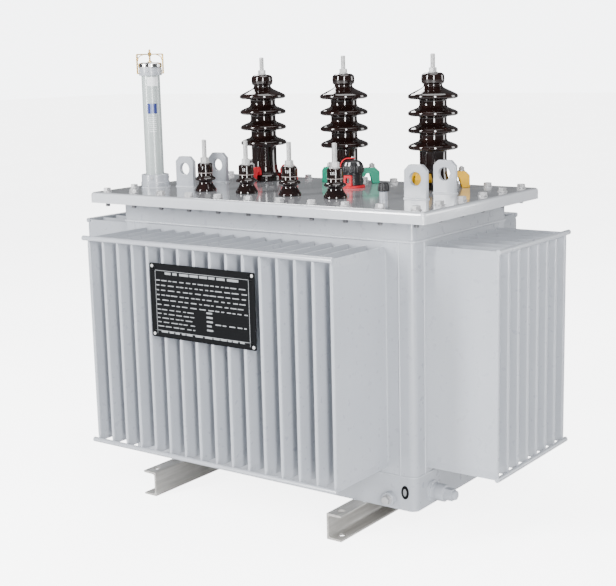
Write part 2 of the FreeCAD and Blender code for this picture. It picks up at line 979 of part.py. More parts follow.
def filler():
    """The tall filler tube, its collar on the cover, its cap and the strap frame over the cap."""
    tube_radius = size.tube_radius
    tube_seat = tube_radius + size.seat_clearance
    foot_radius = tube_radius + size.collar_foot_wall
    foot = cylinder("filler_collar_foot", foot_radius, size.collar_foot_height)
    ring = cylinder("filler_collar_ring", tube_radius + size.collar_wall, size.collar_height)
    collar_bore = cylinder("filler_collar_bore", tube_seat, size.collar_height)
    collar = cut("filler_collar", fuse("filler_collar_solid", [foot, ring]), collar_bore)

    tube_outside = cylinder("filler_tube_outside", tube_radius, size.tube_height)
    tube_inside = cylinder("filler_tube_inside", tube_radius - size.tube_wall, size.tube_height)
    tube = cut("filler_tube", tube_outside, tube_inside)

    cap_radius = tube_radius + size.cap_wall
    cap_low = size.tube_height - size.cap_overlap
    cap_outside = cylinder("filler_cap_outside", cap_radius, size.cap_height)
    cap_recess = cylinder("filler_cap_recess", tube_seat, size.cap_overlap)
    cap = cut("filler_cap", cap_outside, cap_recess)

    frame = new_body("cap_cage_strap")
    inner = cap_radius + size.cage_gap
    half = inner + size.cage_plate
    top = size.cage_height
    under = top - size.cage_plate
    gusset = size.cage_gusset
    corners = [
        (-half, 0),
        (-inner, 0),
        (-inner, under - gusset),
        (gusset - inner, under),
        (inner - gusset, under),
        (inner, under - gusset),
        (inner, 0),
        (half, 0),
        (half, top),
        (-half, top),
    ]
    strap = outline(frame, "cap_cage_outline", "XZ_Plane", corners)
    pad(frame, "cap_cage_bar", strap, size.cage_strap)
    place(frame, y=size.cage_strap / 2)
    cap_top = size.cap_height - size.cage_foot
    screw_length = top + size.cage_screw_height - cap_top
    screw = cylinder("cap_cage_screw", size.cage_screw_radius, screw_length, 0, 0, cap_top)
    grip = centred_box("cap_cage_grip", 2 * inner, size.cage_strap / 2, size.cage_plate, 0)
    solid = fuse("cap_cage_solid", [frame, screw, grip])
    cap_hollow = cylinder("cap_cage_hollow", cap_radius, cap_top)
    cage = cut("cap_cage", solid, cap_hollow)

    return [
        on_filler(collar),
        on_filler(tube),
        on_filler(cap, cap_low),
        on_filler(cage, cap_low + size.cage_foot, size.cage_turn),
    ]


def tap_changer():
    """A fixed round base with a spindle, and the hand knob that turns on it."""
    flange = cylinder("tap_changer_flange", size.tap_flange_radius, size.tap_flange_plate)
    drum = cylinder("tap_changer_drum", size.tap_body_radius, size.tap_body_top)
    spindle_top = size.tap_body_top + size.tap_spindle_rise
    spindle = cylinder("tap_changer_spindle", size.tap_spindle_radius, spindle_top)
    base = fuse("tap_changer_base", [flange, drum, spindle])
    tap_y = HV_ROW - size.tap_from_hv_row
    place(base, size.tap_place, tap_y, COVER_TOP)

    body = new_body("tap_changer_knob")
    bore = size.tap_spindle_radius + size.tap_bore_clearance
    bore_top = size.tap_spindle_rise - size.seat_clearance + size.tap_spindle_end_gap
    shoulder_radius = (size.knob_radius + size.knob_crown_radius) / 2 + size.knob_bulge
    shoulder_height = (size.knob_rim + size.knob_height) / 2 + size.knob_bulge
    profile = [
        (bore, 0),
        (size.knob_radius, 0),
        (size.knob_radius, size.knob_rim),
        (shoulder_radius, shoulder_height),
        (size.knob_crown_radius, size.knob_height),
        (0, size.knob_height),
        (0, bore_top),
        (bore, bore_top),
    ]
    revolve(body, "tap_changer_knob_turned", outline(body, "tap_knob_profile", "XZ_Plane", profile))
    knob_seat = COVER_TOP + size.tap_body_top + size.seat_clearance
    place(body, size.tap_place, tap_y, knob_seat)
    return [base, body]


def vent():
    """A short neck with a screwed cap."""
    spot = (TANK_END - size.vent_inset, size.vent_row_inset - TANK_SIDE)
    neck = cylinder("vent_neck", size.vent_neck_radius, size.vent_neck_height, *spot, COVER_TOP)
    low = COVER_TOP + size.vent_neck_height - size.vent_cap_overlap
    cap_radius = size.vent_neck_radius + size.vent_cap_wall
    shell = cylinder("vent_cap_outside", cap_radius, size.vent_cap_height, *spot, low)
    recess_radius = size.vent_neck_radius + size.seat_clearance
    recess = cylinder("vent_cap_recess", recess_radius, size.vent_cap_overlap, *spot, low)
    return [neck, cut("vent_cap", shell, recess)]


# ---------------------------------------------------------------- fittings on the tank


def drain_valve():
    """A flanged valve body with a hexagon plug, pointing along +X."""
    pieces = []
    start = TANK_END
    row = size.drain_row_inset - TANK_SIDE
    height = BASE_BOTTOM + size.drain_height
    stack = [
        (cylinder, "ring", size.drain_ring_radius, size.drain_ring_plate),
        (cylinder, "body", size.drain_body_radius, size.drain_body_length),
        (hexagon, "plug", size.drain_plug_radius, size.drain_plug_length),
    ]
    for make, name, radius, length in stack:
        pieces.append(make("drain_valve_" + name, radius, length, start, row, height, Y_AXIS, 90))
        start = start + length
    return fuse("drain_valve", pieces)


def earth_terminal():
    """A welded boss with a blind threaded hole, pointing along -Y."""
    x = TANK_END - size.earth_inset
    z = BASE_BOTTOM + size.earth_height
    radius = size.earth_thread_radius
    length = size.earth_boss_length
    depth = size.earth_thread_depth
    boss = cylinder("earth_boss", size.earth_boss_radius, length, x, -TANK_SIDE, z, X_AXIS, 90)
    thread_end = depth - TANK_SIDE - length
    thread = cylinder("earth_thread", radius, depth, x, thread_end, z, X_AXIS, 90)
    return cut("earth_terminal", boss, thread)


def nameplate():
    """A flat plate across the tips of the front fins."""
    tips = -(TANK_SIDE + size.long_fin_depth)
    return box(
        "nameplate",
        size.plate_length,
        size.plate_thickness,
        size.plate_height,
        -size.plate_length / 2,
        tips - size.plate_thickness,
        PANEL_BOTTOM + size.plate_centre_height - size.plate_height / 2,
    )


# ---------------------------------------------------------------- the whole transformer


def build():
    holes = bolt_holes()
    nodes = [base_channel("base_channel_left", -1), base_channel("base_channel_right", 1)]
    nodes += [tank_base(), corner_posts(), tank_neck(), core_and_windings()]
    nodes += fin_walls()
    nodes += [
        flat_ring("tank_flange", size.flange_plate, FLANGE_BOTTOM, holes),
        flat_ring("cover_gasket", size.gasket_plate, GASKET_BOTTOM, holes),
        cover(holes),
    ]
    nodes += high_voltage_side()
    nodes += low_voltage_side()
    nodes += lifting_lugs()
    nodes += filler()
    nodes += tap_changer()
    nodes += vent()
    nodes += [drain_valve(), earth_terminal(), nameplate()]
    return nodes


def check(nodes):
    """Stop if any object failed, or if a node has no valid solid."""
    failed = [item.Name for item in doc.Objects if {"Invalid", "Error"} & set(item.State)]
    if failed:
        raise RuntimeError(f"these objects failed: {failed}")
    for node in nodes:
        shape = node.Shape
        if shape.isNull() or not shape.isValid() or not shape.Solids:
            raise RuntimeError(f"{node.Label} has no valid solid")


def export(nodes):
    os.makedirs("parts", exist_ok=True)
    for node in nodes:
        node.Label = node.Name
        node.Shape.exportStep(os.path.join("parts", node.Label + ".step"))
        volume = node.Shape.Volume / 1e3
        print(f"{node.Label}: {len(node.Shape.Solids)} solids, {volume:.1f} cm3")


transformer = build()
doc.recompute()
check(transformer)
export(transformer)
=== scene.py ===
import math
import random

import bmesh
import bpy
from mathutils import Matrix, Vector


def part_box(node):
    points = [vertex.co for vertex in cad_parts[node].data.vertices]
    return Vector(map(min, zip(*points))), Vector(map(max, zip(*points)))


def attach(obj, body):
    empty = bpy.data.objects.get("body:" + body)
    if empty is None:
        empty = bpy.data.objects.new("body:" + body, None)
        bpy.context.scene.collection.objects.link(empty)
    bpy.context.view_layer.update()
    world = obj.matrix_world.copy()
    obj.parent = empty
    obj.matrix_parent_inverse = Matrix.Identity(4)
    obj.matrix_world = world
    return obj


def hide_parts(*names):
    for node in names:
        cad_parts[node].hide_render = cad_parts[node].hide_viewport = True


# The looks of an oil-filled transformer, built around its CAD frame. Metres.

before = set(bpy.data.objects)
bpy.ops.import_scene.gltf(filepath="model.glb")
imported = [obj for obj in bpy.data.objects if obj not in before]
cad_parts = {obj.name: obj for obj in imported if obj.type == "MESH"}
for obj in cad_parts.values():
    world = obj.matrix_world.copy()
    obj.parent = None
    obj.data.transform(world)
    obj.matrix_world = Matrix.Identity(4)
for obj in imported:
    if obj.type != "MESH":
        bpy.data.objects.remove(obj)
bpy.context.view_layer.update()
random.seed(11)

MM = 0.001
MAIN = "transformer"
COVER_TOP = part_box("cover")[1].z
UPRIGHT = Matrix.Rotation(math.pi / 2, 4, "X")  # turns the XY plane to stand and face -Y
M12_WASHER = (12 * MM, 2.3 * MM)  # radius, thickness
M12_HEAD = (18 * MM, 7.5 * MM)  # across the flats, height


def middle(node):
    """The centre of a CAD node's box."""
    low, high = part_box(node)
    return (low + high) / 2


# ------------------------ materials


class Nodes:
    """A small helper for building one node material."""

    def __init__(self, name):
        self.material = bpy.data.materials.new(name)
        self.material.use_nodes = True
        self.tree = self.material.node_tree
        self.shader = self.tree.nodes["Principled BSDF"]
        self.coordinates = self.tree.nodes.new("ShaderNodeTexCoord")
        self.place = self.coordinates.outputs["Object"]

    def link(self, source, target):
        self.tree.links.new(source, target)

    def stretched(self, scale):
        """The object's coordinates scaled along each axis; a small scale draws noise out."""
        mapping = self.tree.nodes.new("ShaderNodeMapping")
        mapping.inputs["Scale"].default_value = scale
        self.link(self.place, mapping.inputs["Vector"])
        return mapping.outputs["Vector"]

    def noise(self, scale, detail=3.0, roughness=0.5, place=None):
        """Noise over the object's own coordinates, or over stretched ones."""
        node = self.tree.nodes.new("ShaderNodeTexNoise")
        node.inputs["Scale"].default_value = scale
        node.inputs["Detail"].default_value = detail
        node.inputs["Roughness"].default_value = roughness
        self.link(place or self.place, node.inputs["Vector"])
        return node.outputs["Fac"]

    def ramp(self, factor, stops):
        """Colours at positions along a factor."""
        node = self.tree.nodes.new("ShaderNodeValToRGB")
        elements = node.color_ramp.elements
        while len(elements) < len(stops):
            elements.new(0.5)
        for element, (position, color) in zip(elements, stops):
            element.position = position
            element.color = (*color, 1.0)
        self.link(factor, node.inputs["Fac"])
        return node.outputs["Color"]

    def mix(self, factor, a, b, blend="MIX"):
        node = self.tree.nodes.new("ShaderNodeMix")
        node.data_type = "RGBA"
        node.blend_type = blend
        if isinstance(factor, float):
            node.inputs[0].default_value = factor
        else:
            self.link(factor, node.inputs[0])
        for socket, item in ((node.inputs[6], a), (node.inputs[7], b)):
            if isinstance(item, tuple):
                socket.default_value = (*item, 1.0)
            else:
                self.link(item, socket)
        return node.outputs[2]

    def scaled(self, factor, low, high, start=0.3, stop=0.7):
        """Stretch a factor's range start to stop, by default that of noise, over low to high."""
        node = self.tree.nodes.new("ShaderNodeMapRange")
        node.inputs["To Min"].default_value = low
        node.inputs["To Max"].default_value = high
        node.inputs["From Min"].default_value = start
        node.inputs["From Max"].default_value = stop
        self.link(factor, node.inputs["Value"])
        return node.outputs["Result"]

    def painted_top_shade(self, share):
        """Painted shade: a factor that is 1 on upright faces and falls to share on faces that look up."""
        split = self.tree.nodes.new("ShaderNodeSeparateXYZ")
        self.link(self.coordinates.outputs["Normal"], split.inputs["Vector"])
        return self.scaled(split.outputs["Z"], 1.0, share, 0.5, 0.9)

    def bump(self, height, strength, distance, under=None):
        node = self.tree.nodes.new("ShaderNodeBump")
        node.inputs["Strength"].default_value = strength
        node.inputs["Distance"].default_value = distance
        self.link(height, node.inputs["Height"])
        if under is not None:
            self.link(under, node.inputs["Normal"])
        return node.outputs["Normal"]

    def set(self, **values):
        """Give the shader's inputs values or links and return the material."""
        for name, value in values.items():
            socket = self.shader.inputs[name.replace("_", " ")]
            if isinstance(value, bpy.types.NodeSocket):
                self.link(value, socket)
            else:
                socket.default_value = value
        return self.material


def darker(color, share):
    return tuple(channel * share for channel in color)


def enamel(name, color, low=0.26, high=0.36, peel=0.05, coat=0.35, painted_top_shade=None):
    """Sprayed enamel: faint clouds in the colour, orange peel and uneven gloss.

    Given a share, faces that look up get painted shade: they are darker by that share.
    """
    n = Nodes(name)
    clouds = n.ramp(n.noise(5, 4), [(0.3, darker(color, 0.955)), (0.7, color)])
    dust = n.ramp(n.noise(140, 5, 0.65), [(0.35, (0.975, 0.977, 0.98)), (0.6, (1, 1, 1))])
    runs = n.noise(30, 3, 0.5, n.stretched((1.0, 1.0, 0.08)))
    streaks = n.ramp(runs, [(0.35, (0.975, 0.977, 0.98)), (0.65, (1, 1, 1))])
    tone = n.mix(1.0, n.mix(1.0, clouds, dust, "MULTIPLY"), streaks, "MULTIPLY")
    # Painted shade: the colour is darkened where the face looks up.
    if painted_top_shade is not None:
        tone = n.mix(1.0, tone, n.painted_top_shade(painted_top_shade), "MULTIPLY")
    slow = n.bump(n.noise(38, 2), 0.12, 0.0006)
    normal = n.bump(n.noise(700, 2), peel, 0.0003, slow)
    return n.set(
        Base_Color=tone,
        Roughness=n.scaled(n.noise(60, 4), low, high),
        Normal=normal,
        Coat_Weight=coat,
        Coat_Roughness=0.12,
    )


def paint(name, color):
    """Glossy coloured paint with faint runs and pinholes."""
    n = Nodes(name)
    tone = n.ramp(n.noise(45, 4), [(0.3, darker(color, 0.8)), (0.7, color)])
    return n.set(
        Base_Color=tone,
        Roughness=n.scaled(n.noise(150, 3), 0.4, 0.52),
        Normal=n.bump(n.noise(420, 3), 0.15, 0.0004),
        Specular_IOR_Level=0.22,
    )


def porcelain():
    """Dark brown fired glaze that pools a little darker and shows faint ripples."""
    n = Nodes("glazed_porcelain")
    tone = n.ramp(
        n.noise(35, 5, 0.6),
        [(0.3, (0.004, 0.0022, 0.002)), (0.55, (0.008, 0.0035, 0.003)), (0.75, (0.014, 0.006, 0.005))],
    )
    return n.set(
        Base_Color=tone,
        Roughness=n.scaled(n.noise(90, 3), 0.05, 0.11),
        Normal=n.bump(n.noise(60, 2), 0.06, 0.001),
        Coat_Weight=0.3,
        Coat_Roughness=0.03,
    )


def metal(name, color, low, high, stretch=(1.0, 1.0, 1.0), metallic=1.0):
    """Bare or plated metal with a drawn or turned grain."""
    n = Nodes(name)
    lines = n.noise(260, 4, 0.6, n.stretched(stretch))
    tone = n.ramp(lines, [(0.3, darker(color, 0.82)), (0.7, color)])
    patches = n.ramp(n.noise(14, 4), [(0.3, (0.9, 0.9, 0.9)), (0.7, (1, 1, 1))])
    return n.set(
        Base_Color=n.mix(1.0, tone, patches, "MULTIPLY"),
        Metallic=metallic,
        Roughness=n.scaled(n.noise(70, 4, 0.6, n.stretched(stretch)), low, high),
        Normal=n.bump(lines, 0.08, 0.0003),
    )


def mill_steel():
    """Rolled steel channel: warm grey, streaked along its length, with a few rusty specks."""
    n = Nodes("mill_steel")
    along = n.stretched((1.0, 0.06, 1.0))
    streaks = n.ramp(
        n.noise(90, 5, 0.65, along),
        [(0.28, (0.30, 0.29, 0.275)), (0.5, (0.42, 0.41, 0.39)), (0.72, (0.52, 0.51, 0.49))],
    )
    scale = n.noise(55, 6, 0.7)
    scaled_tone = n.mix(n.scaled(scale, 0.0, 0.35), streaks, (0.34, 0.325, 0.30))
    specks = n.scaled(n.noise(210, 4, 0.6), 0.0, 1.0, 0.68, 0.74)
    tone = n.mix(specks, scaled_tone, (0.26, 0.18, 0.12))
    return n.set(
        Base_Color=tone,
        Metallic=0.55,
        Roughness=n.scaled(n.noise(80, 5, 0.6, along), 0.34, 0.52),
        Normal=n.bump(n.noise(160, 5, 0.65, along), 0.18, 0.0005),
    )


def plastic(name, color):
    """Moulded plastic with a fine grain."""
    n = Nodes(name)
    tone = n.ramp(n.noise(70, 3), [(0.35, darker(color, 0.7)), (0.65, color)])
    return n.set(
        Base_Color=tone,
        Roughness=n.scaled(n.noise(120, 3), 0.25, 0.4),
        Normal=n.bump(n.noise(900, 2), 0.12, 0.0002),
        Specular_IOR_Level=0.25,
    )


def rubber():
    """Matte cork rubber for the gasket."""
    n = Nodes("gasket_rubber")
    tone = n.ramp(n.noise(90, 4), [(0.3, (0.012, 0.012, 0.013)), (0.7, (0.03, 0.03, 0.032))])
    return n.set(Base_Color=tone, Roughness=0.75, Normal=n.bump(n.noise(600, 4), 0.3, 0.0003))


def core_iron():
    """Varnished laminations, stacked along X."""
    n = Nodes("core_iron")
    sheets = n.noise(500, 2, 0.5, n.stretched((0.02, 1.0, 0.02)))
    tone = n.ramp(sheets, [(0.35, (0.05, 0.045, 0.04)), (0.65, (0.13, 0.12, 0.11))])
    return n.set(Base_Color=tone, Metallic=0.4, Roughness=0.5, Normal=n.bump(sheets, 0.3, 0.0004))


def printed(name, color, roughness=0.45, shine=0.5):
    """Thin printed or anodised marks and labels."""
    n = Nodes(name)
    tone = n.ramp(n.noise(260, 4, 0.6), [(0.3, darker(color, 0.85)), (0.65, color)])
    grain = n.bump(n.noise(800, 2), 0.05, 0.0002)
    return n.set(Base_Color=tone, Roughness=roughness, Specular_IOR_Level=shine, Normal=grain)


# Each look by its name: its material slot and the material.
LOOKS = {
    "enamel": ("enamel", enamel("grey_enamel", (0.345, 0.363, 0.397))),
    # The cover's flat top gets painted shade: it is 0.6 as bright as its upright band.
    "cover": ("enamel", enamel("cover_enamel", (0.5, 0.515, 0.545), 0.06, 0.11, 0.02, 0.6, painted_top_shade=0.6)),
    "tube": ("tube_enamel", enamel("tube_enamel", (0.37, 0.41, 0.405), 0.2, 0.3)),
    "weld": ("enamel", enamel("painted_weld", (0.42, 0.44, 0.475), 0.3, 0.42, 0.1)),
    "steel": ("bare_steel", mill_steel()),
    "zinc": ("bright_steel", metal("zinc_plate", (0.5, 0.5, 0.51), 0.42, 0.55, (1, 1, 0.2), metallic=0.6)),
    "tinned": ("tinned", metal("tinned_stud", (0.56, 0.56, 0.56), 0.48, 0.6, (1, 1, 0.15), metallic=0.55)),
    "dark_steel": ("bare_steel", metal("dark_steel", (0.24, 0.24, 0.25), 0.45, 0.6)),
    "polished": ("bright_steel", metal("polished_steel", (0.70, 0.70, 0.70), 0.06, 0.16, (0.1, 0.1, 1))),
    "brass": ("cage_brass", metal("cage_brass", (0.86, 0.58, 0.2), 0.22, 0.38, (1, 1, 0.3))),
    "porcelain": ("porcelain", porcelain()),
    "red": ("red_paint", paint("red_paint", (0.5, 0.01, 0.02))),
    "green": ("green_paint", paint("green_paint", (0.008, 0.24, 0.145))),
    "yellow": ("yellow_paint", paint("yellow_paint", (0.66, 0.36, 0.002))),
    "black": ("black_plastic", plastic("black_plastic", (0.018, 0.018, 0.02))),
    "rubber": ("gasket", rubber()),
    "core": ("core_iron", core_iron()),
    "plate": ("plate_black", printed("nameplate_black", (0.005, 0.0053, 0.006), 0.5, 0.03)),
    "mark": ("plate_black", printed("plate_marks", (0.23, 0.24, 0.25), 0.5, 0.2)),
    "white": ("tube_enamel", printed("white_label", (0.82, 0.83, 0.85), 0.4)),
    "blue": ("tube_enamel", printed("blue_label", (0.02, 0.03, 0.15), 0.35)),
    "pale_blue": ("tube_enamel", printed("pale_blue_label", (0.16, 0.2, 0.36), 0.35)),
    "ring": ("gasket", printed("pale_ring", (0.3, 0.26, 0.25), 0.55)),
}


# ------------------------ mesh helpers


def placed(name, data):
    """A new object in the scene."""
    thing = bpy.data.objects.new(name, data)
    bpy.context.scene.collection.objects.link(thing)
    return thing


def piece(name, mesh, look, body=MAIN, replaces=(), smooth=38):
    """Put a finished mesh in the scene as a piece that rides on a CAD body.

    Edges sharper than smooth degrees stay crisp.
    """
    slot, material = LOOKS[look]
    mesh.name = name
    mesh.materials.clear()
    mesh.materials.append(material)
    for polygon in mesh.polygons:
        polygon.use_smooth = True
    mesh.set_sharp_from_angle(angle=math.radians(smooth))
    thing = placed(name, mesh)
    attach(thing, body)
    if replaces:
        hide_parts(*replaces)


def dress(node, look):
    """Give a CAD node that stays visible its material."""
    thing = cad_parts[node]
    thing.data.materials.clear()
    thing.data.materials.append(LOOKS[look][1])


def baked(thing):
    """The mesh that an object's curve or modifiers make."""
    graph = bpy.context.evaluated_depsgraph_get()
    return bpy.data.meshes.new_from_object(thing.evaluated_get(graph))


def to_mesh(bm):
    """Turn a finished bmesh into a mesh with merged points and outward faces."""
    bmesh.ops.remove_doubles(bm, verts=bm.verts, dist=1e-6)
    bmesh.ops.recalc_face_normals(bm, faces=bm.faces)
    mesh = bpy.data.meshes.new("mesh")
    bm.to_mesh(mesh)
    bm.free()
    return mesh


def at(x, y, z):
    return Matrix.Translation((x, y, z))


def turned_to(direction, spot):
    """A matrix that stands +Z along a direction at a spot."""
    return Matrix.Translation(spot) @ Vector(direction).to_track_quat("Z", "Y").to_matrix().to_4x4()


def around(spot, radius, angle, z):
    """A point at a radius and angle about the upright axis through spot."""
    return (spot.x + radius * math.cos(angle), spot.y + radius * math.sin(angle), z)


def box_outline(x0, y0, x1, y1):
    return [(x0, y0), (x1, y0), (x1, y1), (x0, y1)]


def circle(radius, steps=32, x=0.0, y=0.0):
    return [
        (x + radius * math.cos(2 * math.pi * k / steps), y + radius * math.sin(2 * math.pi * k / steps))
        for k in range(steps)
    ]


def in_mm(points):
    return [(a * MM, b * MM) for a, b in points]


def rounded(corners, steps=5, closed=True):
    """Replace each corner (x, y, radius) by an arc; a corner with no radius stays sharp."""
    count = len(corners)
    points = []
    for index, corner in enumerate(corners):
        here = Vector(corner[:2])
        radius = corner[2] if len(corner) > 2 else 0
        ends = not closed and index in (0, count - 1)
        if radius <= 0 or ends:
            points.append(tuple(here))
            continue
        before = Vector(corners[index - 1][:2]) - here
        after = Vector(corners[(index + 1) % count][:2]) - here
        angle = before.angle(after)
        reach = min(radius / math.tan(angle / 2), before.length * 0.49, after.length * 0.49)
        radius = reach * math.tan(angle / 2)
        bisector = before.normalized() + after.normalized()
        centre = here + bisector.normalized() * (radius / math.sin(angle / 2))
        start = here + before.normalized() * reach - centre
        end = here + after.normalized() * reach - centre
        sweep = start.angle_signed(end)
        for step in range(steps + 1):
            turned = start.copy()
            turned.rotate(Matrix.Rotation(-sweep * step / steps, 2))
            points.append(tuple(centre + turned))
    return points


def profile_mm(corners, steps):
    """A lathe profile in metres from corners (radius, height, rounding) in millimetres."""
    return in_mm(rounded(corners, steps, closed=False))


def bridge(bm, a, b, closed=True):
    """Faces between two rows of as many vertices."""
    for k in range(len(a) if closed else len(a) - 1):
        following = (k + 1) % len(a)
        bm.faces.new([a[k], a[following], b[following], b[k]])


def add_lathe(bm, profile, segments=64, matrix=Matrix(), ripple=None):
    """Turn a profile of (radius, height) about Z. ripple(angle, radius) scales the radius."""
    rings = []
    for radius, height in profile:
        if radius < 1e-7:
            rings.append([bm.verts.new(matrix @ Vector((0, 0, height)))])
            continue
        ring = []
        for step in range(segments):
            angle = 2 * math.pi * step / segments
            share = ripple(angle, radius) if ripple else 1.0
            spot = Vector((radius * share * math.cos(angle), radius * share * math.sin(angle), height))
            ring.append(bm.verts.new(matrix @ spot))
        rings.append(ring)
    for low, high in zip(rings, rings[1:]):
        for step in range(segments):
            following = (step + 1) % segments
            face = [low[step % len(low)], low[following % len(low)]]
            face += [high[following % len(high)], high[step % len(high)]]
            unique = list(dict.fromkeys(face))
            if len(unique) > 2:
                bm.faces.new(unique)


def lathe(profile, segments=64, matrix=Matrix(), ripple=None):
    """A mesh turned from one profile."""
    bm = bmesh.new()
    add_lathe(bm, profile, segments, matrix, ripple)
    return to_mesh(bm)


def plate(outlines, thickness, bevel, matrix=Matrix()):
    """A flat plate with eased edges in the XY plane of the matrix, with any holes cut out."""
    data = bpy.data.curves.new("plate", "CURVE")
    data.dimensions = "2D"
    data.fill_mode = "BOTH"
    data.extrude = thickness / 2 - bevel
    data.bevel_depth = bevel
    data.bevel_resolution = 2
    data.offset = -bevel
    for outline in outlines:
        spline = data.splines.new("POLY")
        spline.points.add(len(outline) - 1)
        for point, spot in zip(spline.points, outline):
            point.co = (spot[0], spot[1], 0, 1)
        spline.use_cyclic_u = True
    thing = placed("plate", data)
    mesh = baked(thing)
    bpy.data.objects.remove(thing)
    bpy.data.curves.remove(data)
    mesh.transform(matrix)
    return mesh


def joined(meshes):
    """One mesh from several, which it uses up."""
    bm = bmesh.new()
    for mesh in meshes:
        bm.from_mesh(mesh)
        bpy.data.meshes.remove(mesh)
    bmesh.ops.recalc_face_normals(bm, faces=bm.faces)
    result = bpy.data.meshes.new("joined")
    bm.to_mesh(result)
    bm.free()
    return result


def add_strip(bm, corners, lift, matrix):
    """A thin flat mark, such as a printed bar, that stands lift proud of the XY plane."""
    low = [bm.verts.new(matrix @ Vector((x, y, -0.05 * MM))) for x, y in corners]
    high = [bm.verts.new(matrix @ Vector((x, y, lift))) for x, y in corners]
    bridge(bm, low, high)
    bm.faces.new(list(reversed(low)))
    bm.faces.new(high)


def add_hex(bm, across, height, matrix, both=False):
    """A hexagon head, chamfered on top, or a nut, chamfered on both faces."""
    flat = across / 2
    crown = flat * 0.94
    count = 24
    rim = []
    for step in range(count):
        angle = 2 * math.pi * step / count
        rim.append((angle, flat / math.cos((angle % (math.pi / 3)) - math.pi / 6)))

    def ring(height_of, radius_of=None):
        spots = []
        for angle, radius in rim:
            spot = around(Vector(), radius_of or radius, angle, height_of(radius))
            spots.append(bm.verts.new(matrix @ Vector(spot)))
        return spots

    def drop(radius):
        return (radius - crown) * 0.52

    low_inner = ring(lambda r: 0, crown)
    low = ring(drop if both else lambda r: 0)
    high = ring(lambda r: height - drop(r))
    high_inner = ring(lambda r: height, crown)
    for a, b in ((low_inner, low), (low, high), (high, high_inner)):
        bridge(bm, a, b)
    bm.faces.new(low_inner)
    bm.faces.new(high_inner)


def add_disc(bm, radius, height, matrix, segments=32, ease=0.0004):
    """A washer or short round boss with eased edges."""
    profile = [(0, 0), (radius - ease, 0), (radius, ease), (radius, height - ease)]
    profile += [(radius - ease, height), (0, height)]
    add_lathe(bm, profile, segments, matrix)


def add_thread(bm, radius, length, matrix, pitch=1.75 * MM, segments=24):
    """A threaded rod: ridges one pitch apart with a chamfered end."""
    deep = radius - 0.22 * pitch
    profile = [(0, 0), (deep, 0)]
    tip = 1.2 * MM
    for turn in range(int((length - tip) / pitch)):
        start = turn * pitch
        profile += [(deep, start + 0.1 * pitch), (radius, start + 0.5 * pitch), (deep, start + 0.9 * pitch)]
    profile += [(deep, length - tip), (radius * 0.9, length - 1.1 * MM), (radius * 0.68, length), (0, length)]
    add_lathe(bm, profile, segments, matrix)


def add_bead(bm, path, radius, closed=False, sides=7, pitch=4 * MM, step=2 * MM, rough=0.16):
    """A weld bead that ripples along a path of points."""
    points = [Vector(p) for p in path]
    if closed:
        points.append(points[0])
    samples = []
    travelled = 0.0
    for a, b in zip(points, points[1:]):
        length = (b - a).length
        count = max(1, round(length / step))
        for k in range(count):
            samples.append((a.lerp(b, k / count), (b - a).normalized(), travelled + length * k / count))
        travelled += length
    if not closed:
        samples.append((points[-1], (points[-1] - points[-2]).normalized(), travelled))
    rings = []
    for spot, direction, distance in samples:
        swell = 1 + rough * math.sin(2 * math.pi * distance / pitch) + random.uniform(-rough, rough) * 0.7
        side = direction.cross(Vector((0, 0, 1)))
        if side.length < 0.1:
            side = direction.cross(Vector((1, 0, 0)))
        side.normalize()
        other = direction.cross(side)
        ring = []
        for k in range(sides):
            angle = 2 * math.pi * k / sides
            offset = side * math.cos(angle) + other * math.sin(angle)
            ring.append(bm.verts.new(spot + offset * radius * swell))
        rings.append(ring)
    pairs = list(zip(rings, rings[1:]))
    if closed:
        pairs.append((rings[-1], rings[0]))
    for a, b in pairs:
        bridge(bm, a, b)
    if not closed:
        bm.faces.new(rings[0])
        bm.faces.new(rings[-1])


def tube(path, radius, sides):
    """A round wire along a path."""
    bm = bmesh.new()
    add_bead(bm, path, radius, sides=sides, rough=0.0)
    return to_mesh(bm)


# ------------------------ CAD nodes that stay

for node in ("tank_base", "corner_posts", "tank_neck", "fin_rods", "tank_flange", "vent_neck"):
    dress(node, "enamel")
dress("cover", "cover")
dress("cover_gasket", "rubber")
dress("core_and_windings", "core")
dress("filler_tube", "tube")


# ------------------------ corrugated fins


WALL = 4 * MM  # sheet that closes the valleys between fins
PRESSED = 22 * MM  # length over which a fin's ends are pressed thin
FIN_MARGIN = 14 * MM  # wall above and below the fins


def fin_outline(depth, near):
    """A fin's section: flared feet, flat sides and a round tip. near is 0 at a pressed end."""
    share = near * near * (3 - 2 * near)
    half = (1.5 + 3.5 * share) * MM
    back = (1 - min(1.0, near * 6)) * 1.2 * MM
    foot = 3.5 * MM * share + 0.4 * MM
    outline = [(-half - foot, 0.5 * MM), (-half - foot * 0.3, -foot * 0.3), (-half, -foot)]
    arc = depth - half - back
    for step in range(9):
        angle = math.pi * step / 8
        outline.append((-half * math.cos(angle), -arc - half * math.sin(angle)))
    return outline + [(half, -foot), (half + foot * 0.3, -foot * 0.3), (half + foot, 0.5 * MM)]


